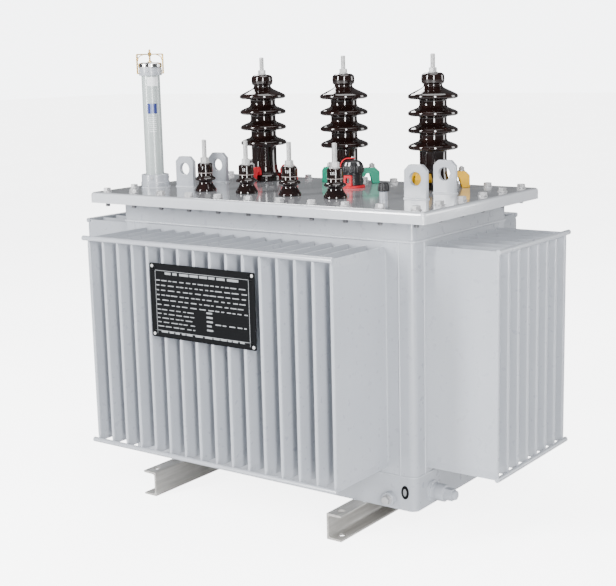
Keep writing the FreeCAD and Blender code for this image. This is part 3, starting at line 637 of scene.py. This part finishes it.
def fin_bank(node, fins, margin, turn):
    """One corrugated wall: folded fins with round tips whose ends are pressed thin and welded.

    It is built facing -Y and turned; margin is the wall beyond the outer fins' middles.
    """
    low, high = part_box(node)
    along, across = (0, 1) if turn in (0, 180) else (1, 0)
    width = high[along] - low[along]
    outward = turn in (90, 180)
    tip = high[across] if outward else -low[across]
    inner = low[across] if outward else -high[across]
    depth = tip - inner - WALL
    height = high.z - low.z
    span = width - 2 * margin
    start, end = FIN_MARGIN, height - FIN_MARGIN
    inset = [0, 0.6, 1.8, 3.6, 6, 9, 12.5, 16, 19, 22]
    levels = [start + d * MM for d in inset] + [end - d * MM for d in reversed(inset)]
    bm = bmesh.new()
    for k in range(fins):
        x = -span / 2 + k * (span / (fins - 1))
        rings = []
        for level in levels:
            near = min(1.0, max(0.0, min(level - start, end - level) / PRESSED))
            rings.append([bm.verts.new((x + px, py, level)) for px, py in fin_outline(depth, near)])
        for lower, upper in zip(rings, rings[1:]):
            bridge(bm, lower, upper, closed=False)
        bm.faces.new(rings[0])
        bm.faces.new(rings[-1])
    slab = bmesh.ops.create_cube(bm, size=1)["verts"]
    bmesh.ops.scale(bm, vec=(width, WALL, height), verts=slab)
    bmesh.ops.translate(bm, vec=(0, WALL / 2, height / 2), verts=slab)
    stand = at(0, 0, low.z) @ Matrix.Rotation(math.radians(turn), 4, "Z") @ at(0, -inner - WALL, 0)
    bmesh.ops.transform(bm, matrix=stand, verts=bm.verts)
    piece(node.replace("wall", "bank"), to_mesh(bm), "enamel", replaces=(node,), smooth=30)


fin_bank("fin_wall_front", 16, 40 * MM, 0)
fin_bank("fin_wall_back", 16, 40 * MM, 180)
fin_bank("fin_wall_right", 8, 10 * MM, 90)
fin_bank("fin_wall_left", 8, 10 * MM, 270)


# ------------------------ weld beads and seams


def tank_loop(height):
    """The tank's outline with its round corners, at a height."""
    low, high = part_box("tank_base")
    corners = [(x, y, 18 * MM) for x, y in box_outline(low.x, low.y, high.x, high.y)]
    return [(x, y, height) for x, y in rounded(corners, 6)]


POST_X, POST_Y = 40 * MM, 44 * MM  # how far a corner post reaches along each wall
seams = bmesh.new()
add_bead(seams, tank_loop(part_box("tank_neck")[0].z), 3.2 * MM, closed=True, pitch=8 * MM, rough=0.22)
add_bead(seams, tank_loop(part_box("tank_base")[1].z), 2.2 * MM, closed=True, pitch=5 * MM)
base_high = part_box("tank_base")[1]
post_low, post_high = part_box("corner_posts")
for sx in (-1, 1):
    for sy in (-1, 1):
        for along, across in ((POST_X, 0), (0, POST_Y)):
            x, y = sx * (base_high.x - along), sy * (base_high.y - across)
            path = [(x, y, post_low.z), (x, y, post_high.z)]
            add_bead(seams, path, 2.1 * MM, pitch=5 * MM, step=2.5 * MM, sides=6)
for number in (1, 2, 3, 4):
    low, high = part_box(f"lifting_lug_{number}")
    path = [(x, y, low.z) for x, y in box_outline(low.x, low.y, high.x, high.y)]
    add_bead(seams, path, 3.2 * MM, closed=True, pitch=5 * MM)
collar = middle("filler_collar")
path = [(collar.x + x, collar.y + y, COVER_TOP) for x, y in circle(38 * MM, 40)]
add_bead(seams, path, 2.2 * MM, closed=True)
piece("weld_beads", to_mesh(seams), "weld", smooth=80)


# ------------------------ channel feet


def channel(node, side):
    """A rolled channel with filleted inside corners, eased flange tips and drilled ends.

    side is the way that its flanges point along X.
    """
    low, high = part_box(node)
    back = low.x if side > 0 else high.x
    tip = back + (high.x - low.x) * side
    web = back + 5 * MM * side
    top = high.z
    flange = 5 * MM
    corners = [
        (back, 0, 1 * MM),
        (tip, 0, 0.8 * MM),
        (tip, flange, 3 * MM),
        (web, flange + 0.8 * MM, 6 * MM),
        (web, top - flange - 0.8 * MM, 6 * MM),
        (tip, top - flange, 3 * MM),
        (tip, top, 0.8 * MM),
        (back, top, 1 * MM),
    ]
    outline = rounded(corners, 5)
    bm = bmesh.new()
    front = [bm.verts.new((x, low.y, z)) for x, z in outline]
    rear = [bm.verts.new((x, high.y, z)) for x, z in outline]
    bridge(bm, front, rear)
    bm.faces.new(front)
    bm.faces.new(rear)
    bar = to_mesh(bm)
    drills = bmesh.new()
    for end in (low.y + 30 * MM, high.y - 30 * MM):
        drill = in_mm([(0, 0), (9, 0), (9, 80), (0, 80)])
        add_lathe(drills, drill, 40, at(back + 22 * MM * side, end, -5 * MM))
    cutter = placed("cutter", to_mesh(drills))
    target = placed("target", bar)
    boolean = target.modifiers.new("holes", "BOOLEAN")
    boolean.operation = "DIFFERENCE"
    boolean.solver = "EXACT"
    boolean.object = cutter
    mesh = baked(target)
    for thing in (cutter, target):
        bpy.data.objects.remove(thing)
    piece(node + "_rolled", mesh, "steel", replaces=(node,))


channel("base_channel_left", -1)
channel("base_channel_right", 1)

foot_welds = bmesh.new()
for node, side in (("base_channel_left", -1), ("base_channel_right", 1)):
    low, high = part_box(node)
    back = low.x if side > 0 else high.x
    for sy in (-1, 1):
        for x in (back + side * 4 * MM, back + side * 30 * MM):
            start = Vector((x, sy * abs(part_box("tank_base")[0].y), high.z))
            add_bead(foot_welds, [start, start + Vector((side * 9 * MM, 0, 0))], 2.6 * MM, pitch=4 * MM)
piece("foot_welds", to_mesh(foot_welds), "weld", smooth=80)


# ------------------------ cover bolts


def bolt_places():
    """The cover's bolts: a row of 11 along each long edge and 4 more along each short one."""
    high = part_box("cover")[1]
    half_x = high.x - 36 * MM
    half_y = high.y - 28 * MM
    for k in range(11):
        x = -half_x + 2 * half_x * k / 10
        yield x, -half_y
        yield x, half_y
    for k in range(1, 5):
        y = -half_y + 2 * half_y * k / 5
        yield -half_x, y
        yield half_x, y


heads = bmesh.new()
ends = bmesh.new()
flange_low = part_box("tank_flange")[0].z
for x, y in bolt_places():
    turn = Matrix.Rotation(random.uniform(0, math.pi / 3), 4, "Z")
    add_disc(heads, *M12_WASHER, at(x, y, COVER_TOP), 28)
    add_hex(heads, *M12_HEAD, at(x, y, COVER_TOP + M12_WASHER[1]) @ turn)
    add_lathe(heads, in_mm([(0, 0), (6.6, 0), (6.6, 19), (0, 19)]), 12, at(x, y, flange_low))
    add_hex(ends, M12_HEAD[0], 10 * MM, at(x, y, flange_low - 10 * MM) @ turn, both=True)
    add_thread(ends, 6 * MM, 9 * MM, turned_to((0, 0, -1), (x, y, flange_low - 9 * MM)), segments=16)
piece("cover_bolts", to_mesh(heads), "zinc", smooth=25)
piece("cover_bolt_ends", to_mesh(ends), "dark_steel", smooth=25)


# ------------------------ bushings


def hv_profile():
    """Foot, flare, four sheds with sloping tops and thick round rims, neck and round head."""
    corners = [(0, 0), (48, 0, 2), (48, 13, 5), (44, 18, 4), (39, 22, 6), (35, 36, 20), (34, 54, 8)]
    for shed in range(4):
        low = 98 + shed * 41.5
        corners += [(34, low - 2, 5), (55, low - 1.5, 6), (62, low + 1, 4), (62, low + 8, 4), (56.5, low + 12, 8)]
        if shed < 3:
            corners += [(36.5, low + 20, 8), (34, low + 25, 4)]
        else:
            corners += [(31, low + 24, 14), (23.5, low + 29, 5)]
    corners += [(23, 257.5, 3), (27.5, 259, 5), (29, 269, 8), (28, 281, 10), (20, 285, 7), (0, 285)]
    return profile_mm(corners, 6)


def lv_profile():
    """Flared foot, one thin shed, waist and plain head."""
    corners = [(0, 0), (28, 0, 1.5), (28, 5, 3), (25.5, 9, 10), (18.5, 20, 9), (18.2, 24.5, 4), (26.2, 28.8, 3)]
    corners += [(27, 32.2, 2), (24, 35.4, 5), (18.6, 38, 5), (18, 46, 2), (18.2, 47.5, 0.5)]
    corners += [(19, 48, 0.6), (19, 68.5, 2.2), (16.5, 71, 2), (0, 71)]
    return profile_mm(corners, 5)


def terminal(name, node, seat, washer, across, nut_height, stud_top):
    """A stud with its washer and nut on the head of a bushing; seat is above the cover."""
    spot = middle(node)
    base = COVER_TOP + seat
    bm = bmesh.new()
    add_disc(bm, washer, 2.4 * MM, at(spot.x, spot.y, base), 36)
    turn = Matrix.Rotation(random.uniform(0, math.pi / 3), 4, "Z")
    add_hex(bm, across, nut_height, at(spot.x, spot.y, base + 2.4 * MM) @ turn, both=True)
    add_thread(bm, 6 * MM, stud_top - seat, at(spot.x, spot.y, base), segments=28)
    piece(name, to_mesh(bm), "tinned", replaces=(node,), smooth=28)


CLAW_ANGLES = (39, 159, 279)
CLAW_TOP = 41  # mm above the cover
CLAW_BOLT = 71 * MM  # from the bushing's axis


def claw(spot, angle):
    """One clamp claw: a cast strap whose toe grips the foot and whose heel stands on the cover."""
    corners = [(42, 18.2, 1.5), (50, 18.2, 2), (56, 27, 4), (63, 27, 4), (71, 0, 1)]
    corners += [(90, 0, 1), (90, 31, 7), (80, CLAW_TOP, 7), (50, CLAW_TOP, 8), (42, 29, 8)]
    stand = at(spot.x, spot.y, COVER_TOP) @ Matrix.Rotation(math.radians(angle), 4, "Z")
    return plate([in_mm(rounded(corners, 5))], 28 * MM, 1.6 * MM, stand @ UPRIGHT)


for number, color in ((1, "red"), (2, "green"), (3, "yellow")):
    node = f"hv_bushing_{number}"
    spot = middle(node)
    insulator = lathe(hv_profile(), 96, at(spot.x, spot.y, COVER_TOP))
    piece(f"hv_insulator_{number}", insulator, "porcelain", replaces=(node,), smooth=50)
    terminal(f"hv_stud_{number}", f"hv_terminal_{number}", 285 * MM, 12 * MM, 18 * MM, 10 * MM, 331 * MM)
    claws = joined([claw(spot, angle) for angle in CLAW_ANGLES])
    piece(f"hv_claws_{number}", claws, color, replaces=(f"hv_clamps_{number}",), smooth=35)
    bolts = bmesh.new()
    for angle in CLAW_ANGLES:
        stand = at(*around(spot, CLAW_BOLT, math.radians(angle), COVER_TOP + CLAW_TOP * MM))
        add_disc(bolts, 9 * MM, 1.8 * MM, stand, 28)
        add_hex(bolts, 14 * MM, 8 * MM, stand @ at(0, 0, 1.8 * MM), both=True)
        add_thread(bolts, 4 * MM, 12.5 * MM, stand, pitch=1.25 * MM, segments=18)
    piece(f"claw_bolts_{number}", to_mesh(bolts), "zinc", smooth=25)

rings = bmesh.new()
tallies = bmesh.new()
for number in (1, 2, 3, 4):
    node = f"lv_bushing_{number}"
    spot = middle(node)
    insulator = lathe(lv_profile(), 72, at(spot.x, spot.y, COVER_TOP))
    piece(f"lv_insulator_{number}", insulator, "porcelain", replaces=(node,), smooth=50)
    terminal(f"lv_stud_{number}", f"lv_terminal_{number}", 71 * MM, 13 * MM, 19 * MM, 12 * MM, 130 * MM)
    band = [(18.1, 45.8), (19.3, 45.9), (19.6, 46.6), (19.3, 47.3), (18.1, 47.4)]
    add_lathe(rings, in_mm(band), 48, at(spot.x, spot.y, COVER_TOP))
    for bar in range(number):
        angle = math.radians(-68 + (bar - (number - 1) / 2) * 13)
        outline = box_outline(angle - 0.03, COVER_TOP + 56 * MM, angle + 0.03, COVER_TOP + 63.5 * MM)
        tallies.faces.new([tallies.verts.new(around(spot, 19.15 * MM, turned, z)) for turned, z in outline])
piece("lv_seal_rings", to_mesh(rings), "ring")
piece("lv_tally_marks", to_mesh(tallies), "white")


# ------------------------ lifting lugs

for number in (1, 2, 3, 4):
    node = f"lifting_lug_{number}"
    low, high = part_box(node)
    half = (high.x - low.x) / 2
    top = high.z - low.z
    cut, ease = 13 * MM, 4 * MM
    corners = [(-half, 0), (half, 0), (half, top - cut, ease), (half - cut, top, ease)]
    corners += [(cut - half, top, ease), (-half, top - cut, ease)]
    hole = circle(16 * MM, 48, 0, 47 * MM)
    spot = middle(node)
    mesh = plate([rounded(corners, 4), hole], high.y - low.y, 0.9 * MM, at(spot.x, spot.y, low.z) @ UPRIGHT)
    piece(f"lug_plate_{number}", mesh, "enamel", replaces=(node,), smooth=35)


# ------------------------ filler tube

spot = middle("filler_tube")
cap_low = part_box("filler_tube")[1].z - 9 * MM
collar = [(24.3, 0), (38, 0, 0.8), (38, 13, 2), (36, 15, 1), (36, 33, 1.2), (33.5, 34, 1), (24.3, 34), (24.3, 0)]
collar_mesh = lathe(profile_mm(collar, 4), 80, at(spot.x, spot.y, COVER_TOP))
piece("filler_collar_turned", collar_mesh, "enamel", replaces=("filler_collar",))
screws = bmesh.new()
for angle in (-62, 58, 178):
    direction = Vector((math.cos(math.radians(angle)), math.sin(math.radians(angle)), 0))
    in_collar = Vector((spot.x, spot.y, COVER_TOP + 25 * MM)) + direction * 35.4 * MM
    add_disc(screws, 3.4 * MM, 2.2 * MM, turned_to(direction, in_collar), 20)
    in_cap = Vector((spot.x, spot.y, cap_low + 11 * MM)) + direction * 29.2 * MM
    add_disc(screws, 2.6 * MM, 2 * MM, turned_to(direction, in_cap), 18)
piece("filler_screws", to_mesh(screws), "zinc")

cap_stand = at(spot.x, spot.y, cap_low)
band = [(24.4, 0), (29.6, 0, 0.8), (29.8, 18, 0.8), (28.6, 19, 0.3), (28.6, 20.5), (10, 20.5)]
piece("filler_cap_band", lathe(profile_mm(band, 3), 80, cap_stand), "enamel")
lid = [(10, 20.4), (29.4, 20.4, 0.5), (30, 22, 1), (30, 30, 2.5)]
lid += [(27.5, 32.5, 2), (24, 32.2, 2), (22, 33.6, 1.5), (0, 34)]


def knurl(angle, radius):
    """Fine ridges round the lid's rim."""
    return 1 + (0.006 * math.cos(40 * angle) if radius > 29 * MM else 0)


lid_mesh = lathe(profile_mm(lid, 4), 160, cap_stand, knurl)
piece("filler_cap_lid", lid_mesh, "polished", replaces=("filler_cap",))

cage_low, cage_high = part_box("cap_cage")
cage_stand = at(spot.x, spot.y, cage_low.z) @ Matrix.Rotation(math.radians(36), 4, "Z")
half, height, thick = 35 * MM, 52 * MM, 3 * MM
upright = cage_stand @ UPRIGHT
inner = half - thick
under = height - thick
frame_line = [(-half, 0), (-half, height, 3 * MM), (half, height, 3 * MM), (half, 0)]
frame_line += [(inner, 0), (inner, under, 2 * MM), (-inner, under, 2 * MM), (-inner, 0)]
cage = [plate([rounded(frame_line, 4)], 14 * MM, 0.5 * MM, upright)]
for sx in (-1, 1):
    gusset = []
    for step in range(9):
        angle = math.pi / 2 * step / 8
        reach, drop = 13 * MM * (1 - math.sin(angle)), 13 * MM * (1 - math.cos(angle))
        gusset.append((sx * (inner - reach), under - drop))
    lower = [(x - sx * 1.4 * MM, z - 1.4 * MM) for x, z in reversed(gusset)]
    cage.append(plate([gusset + lower], 5 * MM, 0.3 * MM, upright))
    foot = box_outline(sx * 29.5 * MM, 0, sx * half, thick)
    cage.append(plate([foot], 8 * MM, 0.4 * MM, upright))
piece("cap_cage_strap", joined(cage), "brass", replaces=("cap_cage",), smooth=30)
screw = bmesh.new()
screw_low = 30 * MM
add_thread(screw, 2.5 * MM, cage_high.z - cage_low.z - screw_low, cage_stand @ at(0, 0, screw_low), 1 * MM, 16)
add_hex(screw, 8 * MM, 3.2 * MM, cage_stand @ at(0, 0, height), both=True)
add_hex(screw, 8 * MM, 3.2 * MM, cage_stand @ at(0, 0, under - 3.2 * MM), both=True)
add_disc(screw, 6 * MM, 3 * MM, cage_stand @ at(0, 0, screw_low), 24)
piece("cap_cage_screw", to_mesh(screw), "brass", smooth=28)


def wrapped(name, centre_angle, half_angle, low, high, look, lift=0.25 * MM, steps=14):
    """A thin label wrapped round the filler tube, from height low to high above the cover."""
    bm = bmesh.new()
    sunk, outer = 24 * MM - 0.2 * MM, 24 * MM + lift
    columns = []
    for step in range(steps + 1):
        angle = centre_angle - half_angle + 2 * half_angle * step / steps
        section = ((sunk, low), (outer, low), (outer, high), (sunk, high))
        columns.append([bm.verts.new(around(spot, r, angle, COVER_TOP + z)) for r, z in section])
    for a, b in zip(columns, columns[1:]):
        bridge(bm, a, b, closed=False)
    bm.faces.new(columns[0])
    bm.faces.new(columns[-1])
    piece(name, to_mesh(bm), look, smooth=30)


FRONT = math.radians(-47)
wrapped("tube_sticker", FRONT + 0.22, 0.62, 264 * MM, 287 * MM, "white")
for side, offset, half_angle, look in (
    ("left", -0.37, 0.17, "blue"),
    ("middle", -0.02, 0.18, "pale_blue"),
    ("right", 0.35, 0.19, "blue"),
):
    wrapped(f"tube_mark_{side}", FRONT + offset, half_angle, 193 * MM, 219 * MM, look)
for line in range(8):
    height = (182 - 5.2 * line) * MM
    wrapped(f"tube_line_{line + 1}", FRONT, 0.42 - 0.02 * (line % 3), height, height + 1.2 * MM, "white", 0.12 * MM)


# ------------------------ tap changer

spot = middle("tap_changer_knob")
stand = at(spot.x, spot.y, COVER_TOP)
flange = profile_mm([(0, 0), (31, 0, 0.5), (31, 5, 1.2), (29, 6, 0.8), (25.5, 6.2, 0.5), (0, 6.2)], 3)
piece("tap_changer_flange", lathe(flange, 64, stand), "red", replaces=("tap_changer_base",))
drum = [(0, 6), (25, 6, 0.5), (25, 12, 0.5), (24, 12.6, 0.3), (24, 34, 0.5), (25, 34.6, 0.5), (25, 38, 1), (0, 38)]
piece("tap_changer_drum", lathe(profile_mm(drum, 3), 64, stand), "black")
spindle = lathe(in_mm([(0, 0), (8, 0), (8, 18), (0, 18)]), 32, stand @ at(0, 0, 38 * MM))
piece("tap_changer_spindle", spindle, "zinc")


def window(half, low, high, radii, steps):
    """A rounded opening, in mm, with one radius for its lower corners and one for its upper ones."""
    eased = zip(box_outline(-half, low, half, high), (radii[0], radii[0], radii[1], radii[1]))
    return in_mm(rounded([(x, y, radius) for (x, y), radius in eased], steps))


quarter = Matrix.Rotation(math.pi / 2, 4, "Z")
facing = stand @ Matrix.Rotation(math.radians(-84), 4, "Z") @ at(26.5 * MM, 0, 0) @ quarter @ UPRIGHT
window_frame = plate([window(11, 6, 33, (2, 3), 4), window(5, 13, 26, (1, 1), 3)], 7 * MM, 0.8 * MM, facing)
piece("tap_window_frame", window_frame, "red")
pane = plate([window(6, 12, 27, (1, 1), 3)], 2 * MM, 0.2 * MM, facing @ at(0, 0, -1.2 * MM))
piece("tap_window_pane", pane, "black")

over_dome = [(-31.5, 6), (-31.5, 54), (-30.4, 60), (-27.6, 65.5), (-24.3, 69.5), (-20, 72.4), (-15, 74), (6, 74.3)]
strap = [(x * MM, 0, z * MM) for x, z in over_dome]
mesh = tube(strap, 1.7 * MM, 10)
mesh.transform(stand @ Matrix.Rotation(math.radians(30), 4, "Z"))
piece("tap_changer_strap", mesh, "red")
bm = bmesh.new()
add_hex(bm, 7 * MM, 3 * MM, stand @ at(0, 0, 75.2 * MM), both=True)
piece("tap_changer_screw", to_mesh(bm), "zinc", smooth=25)


def ribs(angle, radius):
    """Twenty finger grooves on the knob, none near its middle."""
    if radius < 20 * MM:
        return 1.0
    return 1 - 0.045 * (0.5 + 0.5 * math.cos(20 * angle)) ** 2


knob_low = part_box("tap_changer_knob")[0].z
dome = [(8.1, 0), (28, 0, 0.8), (28.5, 3, 1), (28.5, 12, 3), (27, 19, 8), (22, 27, 8), (14, 31.4, 6), (0, 32)]
knob = lathe(profile_mm(dome, 6), 160, at(spot.x, spot.y, knob_low), ribs)
piece("tap_knob_dome", knob, "black", body="selector", replaces=("tap_changer_knob",), smooth=40)
marks = bmesh.new()
for angle in (-100, -76, -22, 150):
    direction = math.radians(angle)
    corners = ((-0.09, 27.6, 18.2), (0.09, 27.6, 18.2), (0.1, 22.6, 26.8), (-0.1, 22.6, 26.8))
    marks.faces.new(
        [marks.verts.new(around(spot, r * MM, direction + turned, knob_low + z * MM)) for turned, r, z in corners]
    )
piece("tap_knob_marks", to_mesh(marks), "white", body="selector")


# ------------------------ vent

spot = middle("vent_cap")
cap_low, cap_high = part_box("vent_cap")
tall = (cap_high.z - cap_low.z) / MM
vent = [(10.2, 0), (13, 0, 0.5), (13.7, 2, 0.8), (13.4, tall * 0.55, 4)]
vent += [(12, tall - 3, 2), (10.4, tall, 1.6), (0, tall)]


def grips(angle, radius):
    """Eighteen grooves round the vent's cap, none near its middle."""
    return 1 - (0.07 * (0.5 + 0.5 * math.cos(18 * angle)) ** 2 if radius > 10.5 * MM else 0)


vent_mesh = lathe(profile_mm(vent, 4), 144, at(spot.x, spot.y, cap_low.z), grips)
piece("vent_cap_ribbed", vent_mesh, "black", replaces=("vent_cap",))


# ------------------------ drain valve and earth terminal

low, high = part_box("drain_valve")
outward = turned_to((1, 0, 0), Vector((low.x, (low.y + high.y) / 2, (low.z + high.z) / 2)))
bm = bmesh.new()
ring = [(0, 0), (26, 0), (26, 5, 1), (25, 6, 0.6), (20, 6.4, 1.5), (19, 14, 1.5)]
ring += [(20, 18, 1), (20, 36, 1.5), (18, 38, 1), (0, 38)]
add_lathe(bm, profile_mm(ring, 3), 64, outward)
add_hex(bm, 26.6 * MM, 20 * MM, outward @ at(0, 0, 38 * MM))
plug = [(0, 0), (11, 0), (11, 6, 1.5), (8, 8, 2), (0, 8)]
add_lathe(bm, profile_mm(plug, 3), 40, outward @ at(0, 0, 58 * MM))
for angle in (45, 135, 225, 315):
    add_hex(bm, 7 * MM, 3 * MM, outward @ at(*around(Vector(), 22.4 * MM, math.radians(angle), 5.6 * MM)))
piece("drain_valve_turned", to_mesh(bm), "enamel", replaces=("drain_valve",), smooth=32)

low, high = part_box("earth_terminal")
outward = turned_to((0, -1, 0), Vector(((low.x + high.x) / 2, high.y, (low.z + high.z) / 2)))
boss = [(0, 0), (16, 0), (16, 13, 1), (15, 14, 0.6), (0, 14)]
piece("earth_boss_turned", lathe(profile_mm(boss, 3), 48, outward), "enamel", replaces=("earth_terminal",))
bm = bmesh.new()
add_disc(bm, *M12_WASHER, outward @ at(0, 0, 14 * MM), 32)
add_disc(bm, 10.5 * MM, 2.2 * MM, outward @ at(0, 0, 16.3 * MM), 32)
add_hex(bm, *M12_HEAD, outward @ at(0, 0, 18.5 * MM) @ Matrix.Rotation(0.3, 4, "Z"))
piece("earth_bolt", to_mesh(bm), "zinc", smooth=25)

base_low, base_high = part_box("tank_base")
tag_stand = at(base_high.x - 28 * MM, base_low.y - 0.6 * MM, base_low.z + 44 * MM) @ UPRIGHT
oval = [(x * 0.62, y) for x, y in circle(16 * MM, 48)]
piece("oval_tag", plate([oval], 1.6 * MM, 0.3 * MM, tag_stand), "plate")
small = [(x * 0.5, y) for x, y in circle(9 * MM, 32)]
piece("oval_tag_centre", plate([small], 0.6 * MM, 0.1 * MM, tag_stand @ at(0, 0, 1.0 * MM)), "mark")


# ------------------------ nameplate

low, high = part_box("nameplate")
wide = high.x - low.x
tall = high.z - low.z
stand = Matrix.Translation((low + high) / 2) @ UPRIGHT
edges = box_outline(-wide / 2, -tall / 2, wide / 2, tall / 2)
panel = plate([rounded([(x, y, 3 * MM) for x, y in edges], 4)], high.y - low.y, 0.4 * MM, stand)
piece("nameplate_panel", panel, "plate", replaces=("nameplate",))
face = stand @ at(0, 0, (high.y - low.y) / 2)


def notched(inset):
    """The nameplate's border, that far in from its edge, with a square notch at each corner."""
    notch = 9 * MM
    points = []
    for sx, sy in ((-1, -1), (1, -1), (1, 1), (-1, 1)):
        x, y = sx * (wide / 2 - inset), sy * (tall / 2 - inset)
        step = [(x, y - sy * notch), (x - sx * notch, y - sy * notch), (x - sx * notch, y)]
        points += step if sx * sy < 0 else step[::-1]
    return points


lines = bmesh.new()
outer, inner = notched(7 * MM), notched(8.1 * MM)
for k in range(len(outer)):
    following = (k + 1) % len(outer)
    add_strip(lines, [outer[k], outer[following], inner[following], inner[k]], 0.12 * MM, face)


def bars(left, right, y, high, longest):
    """A broken row of bare bars, in the place of a line of print."""
    start = left
    while start < right - 5 * MM:
        stop = min(start + random.uniform(0.35, 1.0) * longest, right)
        if stop - start > 3 * MM:
            add_strip(lines, box_outline(start, y, stop, y + high), 0.14 * MM, face)
        start = stop + random.uniform(3, 9) * MM


edge = wide / 2 - 19 * MM
bars(-edge + 28 * MM, edge - 20 * MM, tall / 2 - 25 * MM, 5.5 * MM, 34 * MM)
for row in range(6):
    bars(-edge, edge - 2 * MM, tall / 2 - (41 + row * 11.5) * MM, 2.4 * MM, 20 * MM)
for row in range(5):
    y = tall / 2 - (110 + row * 10) * MM
    bars(-edge, -22 * MM, y, 2.2 * MM, 22 * MM)
    bars(14 * MM, 32 * MM, y + 4 * MM, 4 * MM, 30 * MM)
    if row == 2:
        bars(40 * MM, edge, y, 2.6 * MM, 18 * MM)
bars(-edge + 10 * MM, edge - 8 * MM, -tall / 2 + 12 * MM, 4.5 * MM, 26 * MM)
piece("nameplate_lines", to_mesh(lines), "mark", smooth=20)
rivets = bmesh.new()
dome = in_mm([(0, 0), (4.0, 0), (3.7, 0.5), (2.6, 0.8), (1.2, 0.95), (0, 1.0)])
for sx in (-1, 1):
    for sy in (-1, 1):
        add_lathe(rivets, dome, 20, face @ at(sx * (wide / 2 - 7 * MM), sy * (tall / 2 - 7 * MM), 0))
piece("nameplate_rivets", to_mesh(rivets), "tinned", smooth=60)


# ------------------------ floor, light and camera


def stage_floor():
    """A pale floor that glows only where the camera sees it, so that it lights nothing."""
    n = Nodes("studio_floor")
    tone = n.ramp(n.noise(1.2, 3), [(0.3, (0.9, 0.903, 0.906)), (0.7, (0.93, 0.933, 0.936))])
    material = n.set(Base_Color=tone, Roughness=0.6, Normal=n.bump(n.noise(90, 3), 0.02, 0.0005))
    sight = n.tree.nodes.new("ShaderNodeLightPath")
    glow = n.tree.nodes.new("ShaderNodeMath")
    glow.operation = "MULTIPLY"
    glow.inputs[1].default_value = 5.6
    n.tree.links.new(sight.outputs["Is Camera Ray"], glow.inputs[0])
    n.set(Emission_Color=tone, Emission_Strength=glow.outputs[0])
    bm = bmesh.new()
    bmesh.ops.create_grid(bm, x_segments=1, y_segments=1, size=30)
    mesh = bpy.data.meshes.new("floor")
    bm.to_mesh(mesh)
    bm.free()
    mesh.materials.append(material)
    floor = placed("floor", mesh)
    floor.location.z = -0.0005


def softbox(name, spot, aim, width, height, power):
    """A rectangular lamp at a spot, facing its aim; sizes are in metres and power in watts."""
    data = bpy.data.lights.new(name, "AREA")
    data.shape = "RECTANGLE"
    data.size = width
    data.size_y = height
    data.energy = power
    lamp = placed(name, data)
    lamp.location = spot
    lamp.rotation_euler = (Vector(aim) - Vector(spot)).to_track_quat("-Z", "Y").to_euler()


def studio_world():
    """A dim even room that looks white from where it is watched."""
    world = bpy.data.worlds.new("studio")
    bpy.context.scene.world = world
    world.use_nodes = True
    tree = world.node_tree
    background = tree.nodes["Background"]
    background.inputs["Color"].default_value = (0.96, 0.98, 1.0, 1.0)
    sight = tree.nodes.new("ShaderNodeLightPath")
    pick = tree.nodes.new("ShaderNodeMix")
    tree.links.new(sight.outputs["Is Camera Ray"], pick.inputs["Factor"])
    pick.inputs["A"].default_value = 0.16
    pick.inputs["B"].default_value = 6.0
    tree.links.new(pick.outputs["Result"], background.inputs["Strength"])


stage_floor()
studio_world()
softbox("left_box", (-1.5, -3.1, 2.0), (0, 0, 0.8), 0.5, 2.6, 275)
softbox("front_box", (2.25, -2.2, 1.3), (0, 0, 0.9), 0.4, 2.4, 165)
softbox("back_box", (2.6, 2.6, 1.4), (0, 0, 0.9), 1.2, 2.2, 70)
softbox("rear_box", (-2.3, 2.1, 3.2), (0, 0, 0.5), 1.2, 1.2, 75)
softbox("top_box", (0.3, 0.2, 3.4), (0, 0, 0.5), 2.4, 2.0, 76)

camera_data = bpy.data.cameras.new("camera")
camera_data.lens = 72.4
camera_data.sensor_width = 36.0
camera_data.shift_x = -0.0164
camera_data.shift_y = 0.0068
camera = placed("camera", camera_data)
turn, drop, roll = math.radians(35.8), math.radians(10.9), math.radians(-1.3)
ahead = Vector((-math.sin(turn) * math.cos(drop), math.cos(turn) * math.cos(drop), -math.sin(drop)))
right = Vector((math.cos(turn), math.sin(turn), 0))
up = right.cross(ahead)
rolled_right = right * math.cos(roll) + up * math.sin(roll)
rolled_up = up * math.cos(roll) - right * math.sin(roll)
axes = Matrix((rolled_right, rolled_up, -ahead)).transposed()
camera.matrix_world = Matrix.Translation((1.8388, -2.5240, 1.0877)) @ axes.to_4x4()
bpy.context.scene.camera = camera
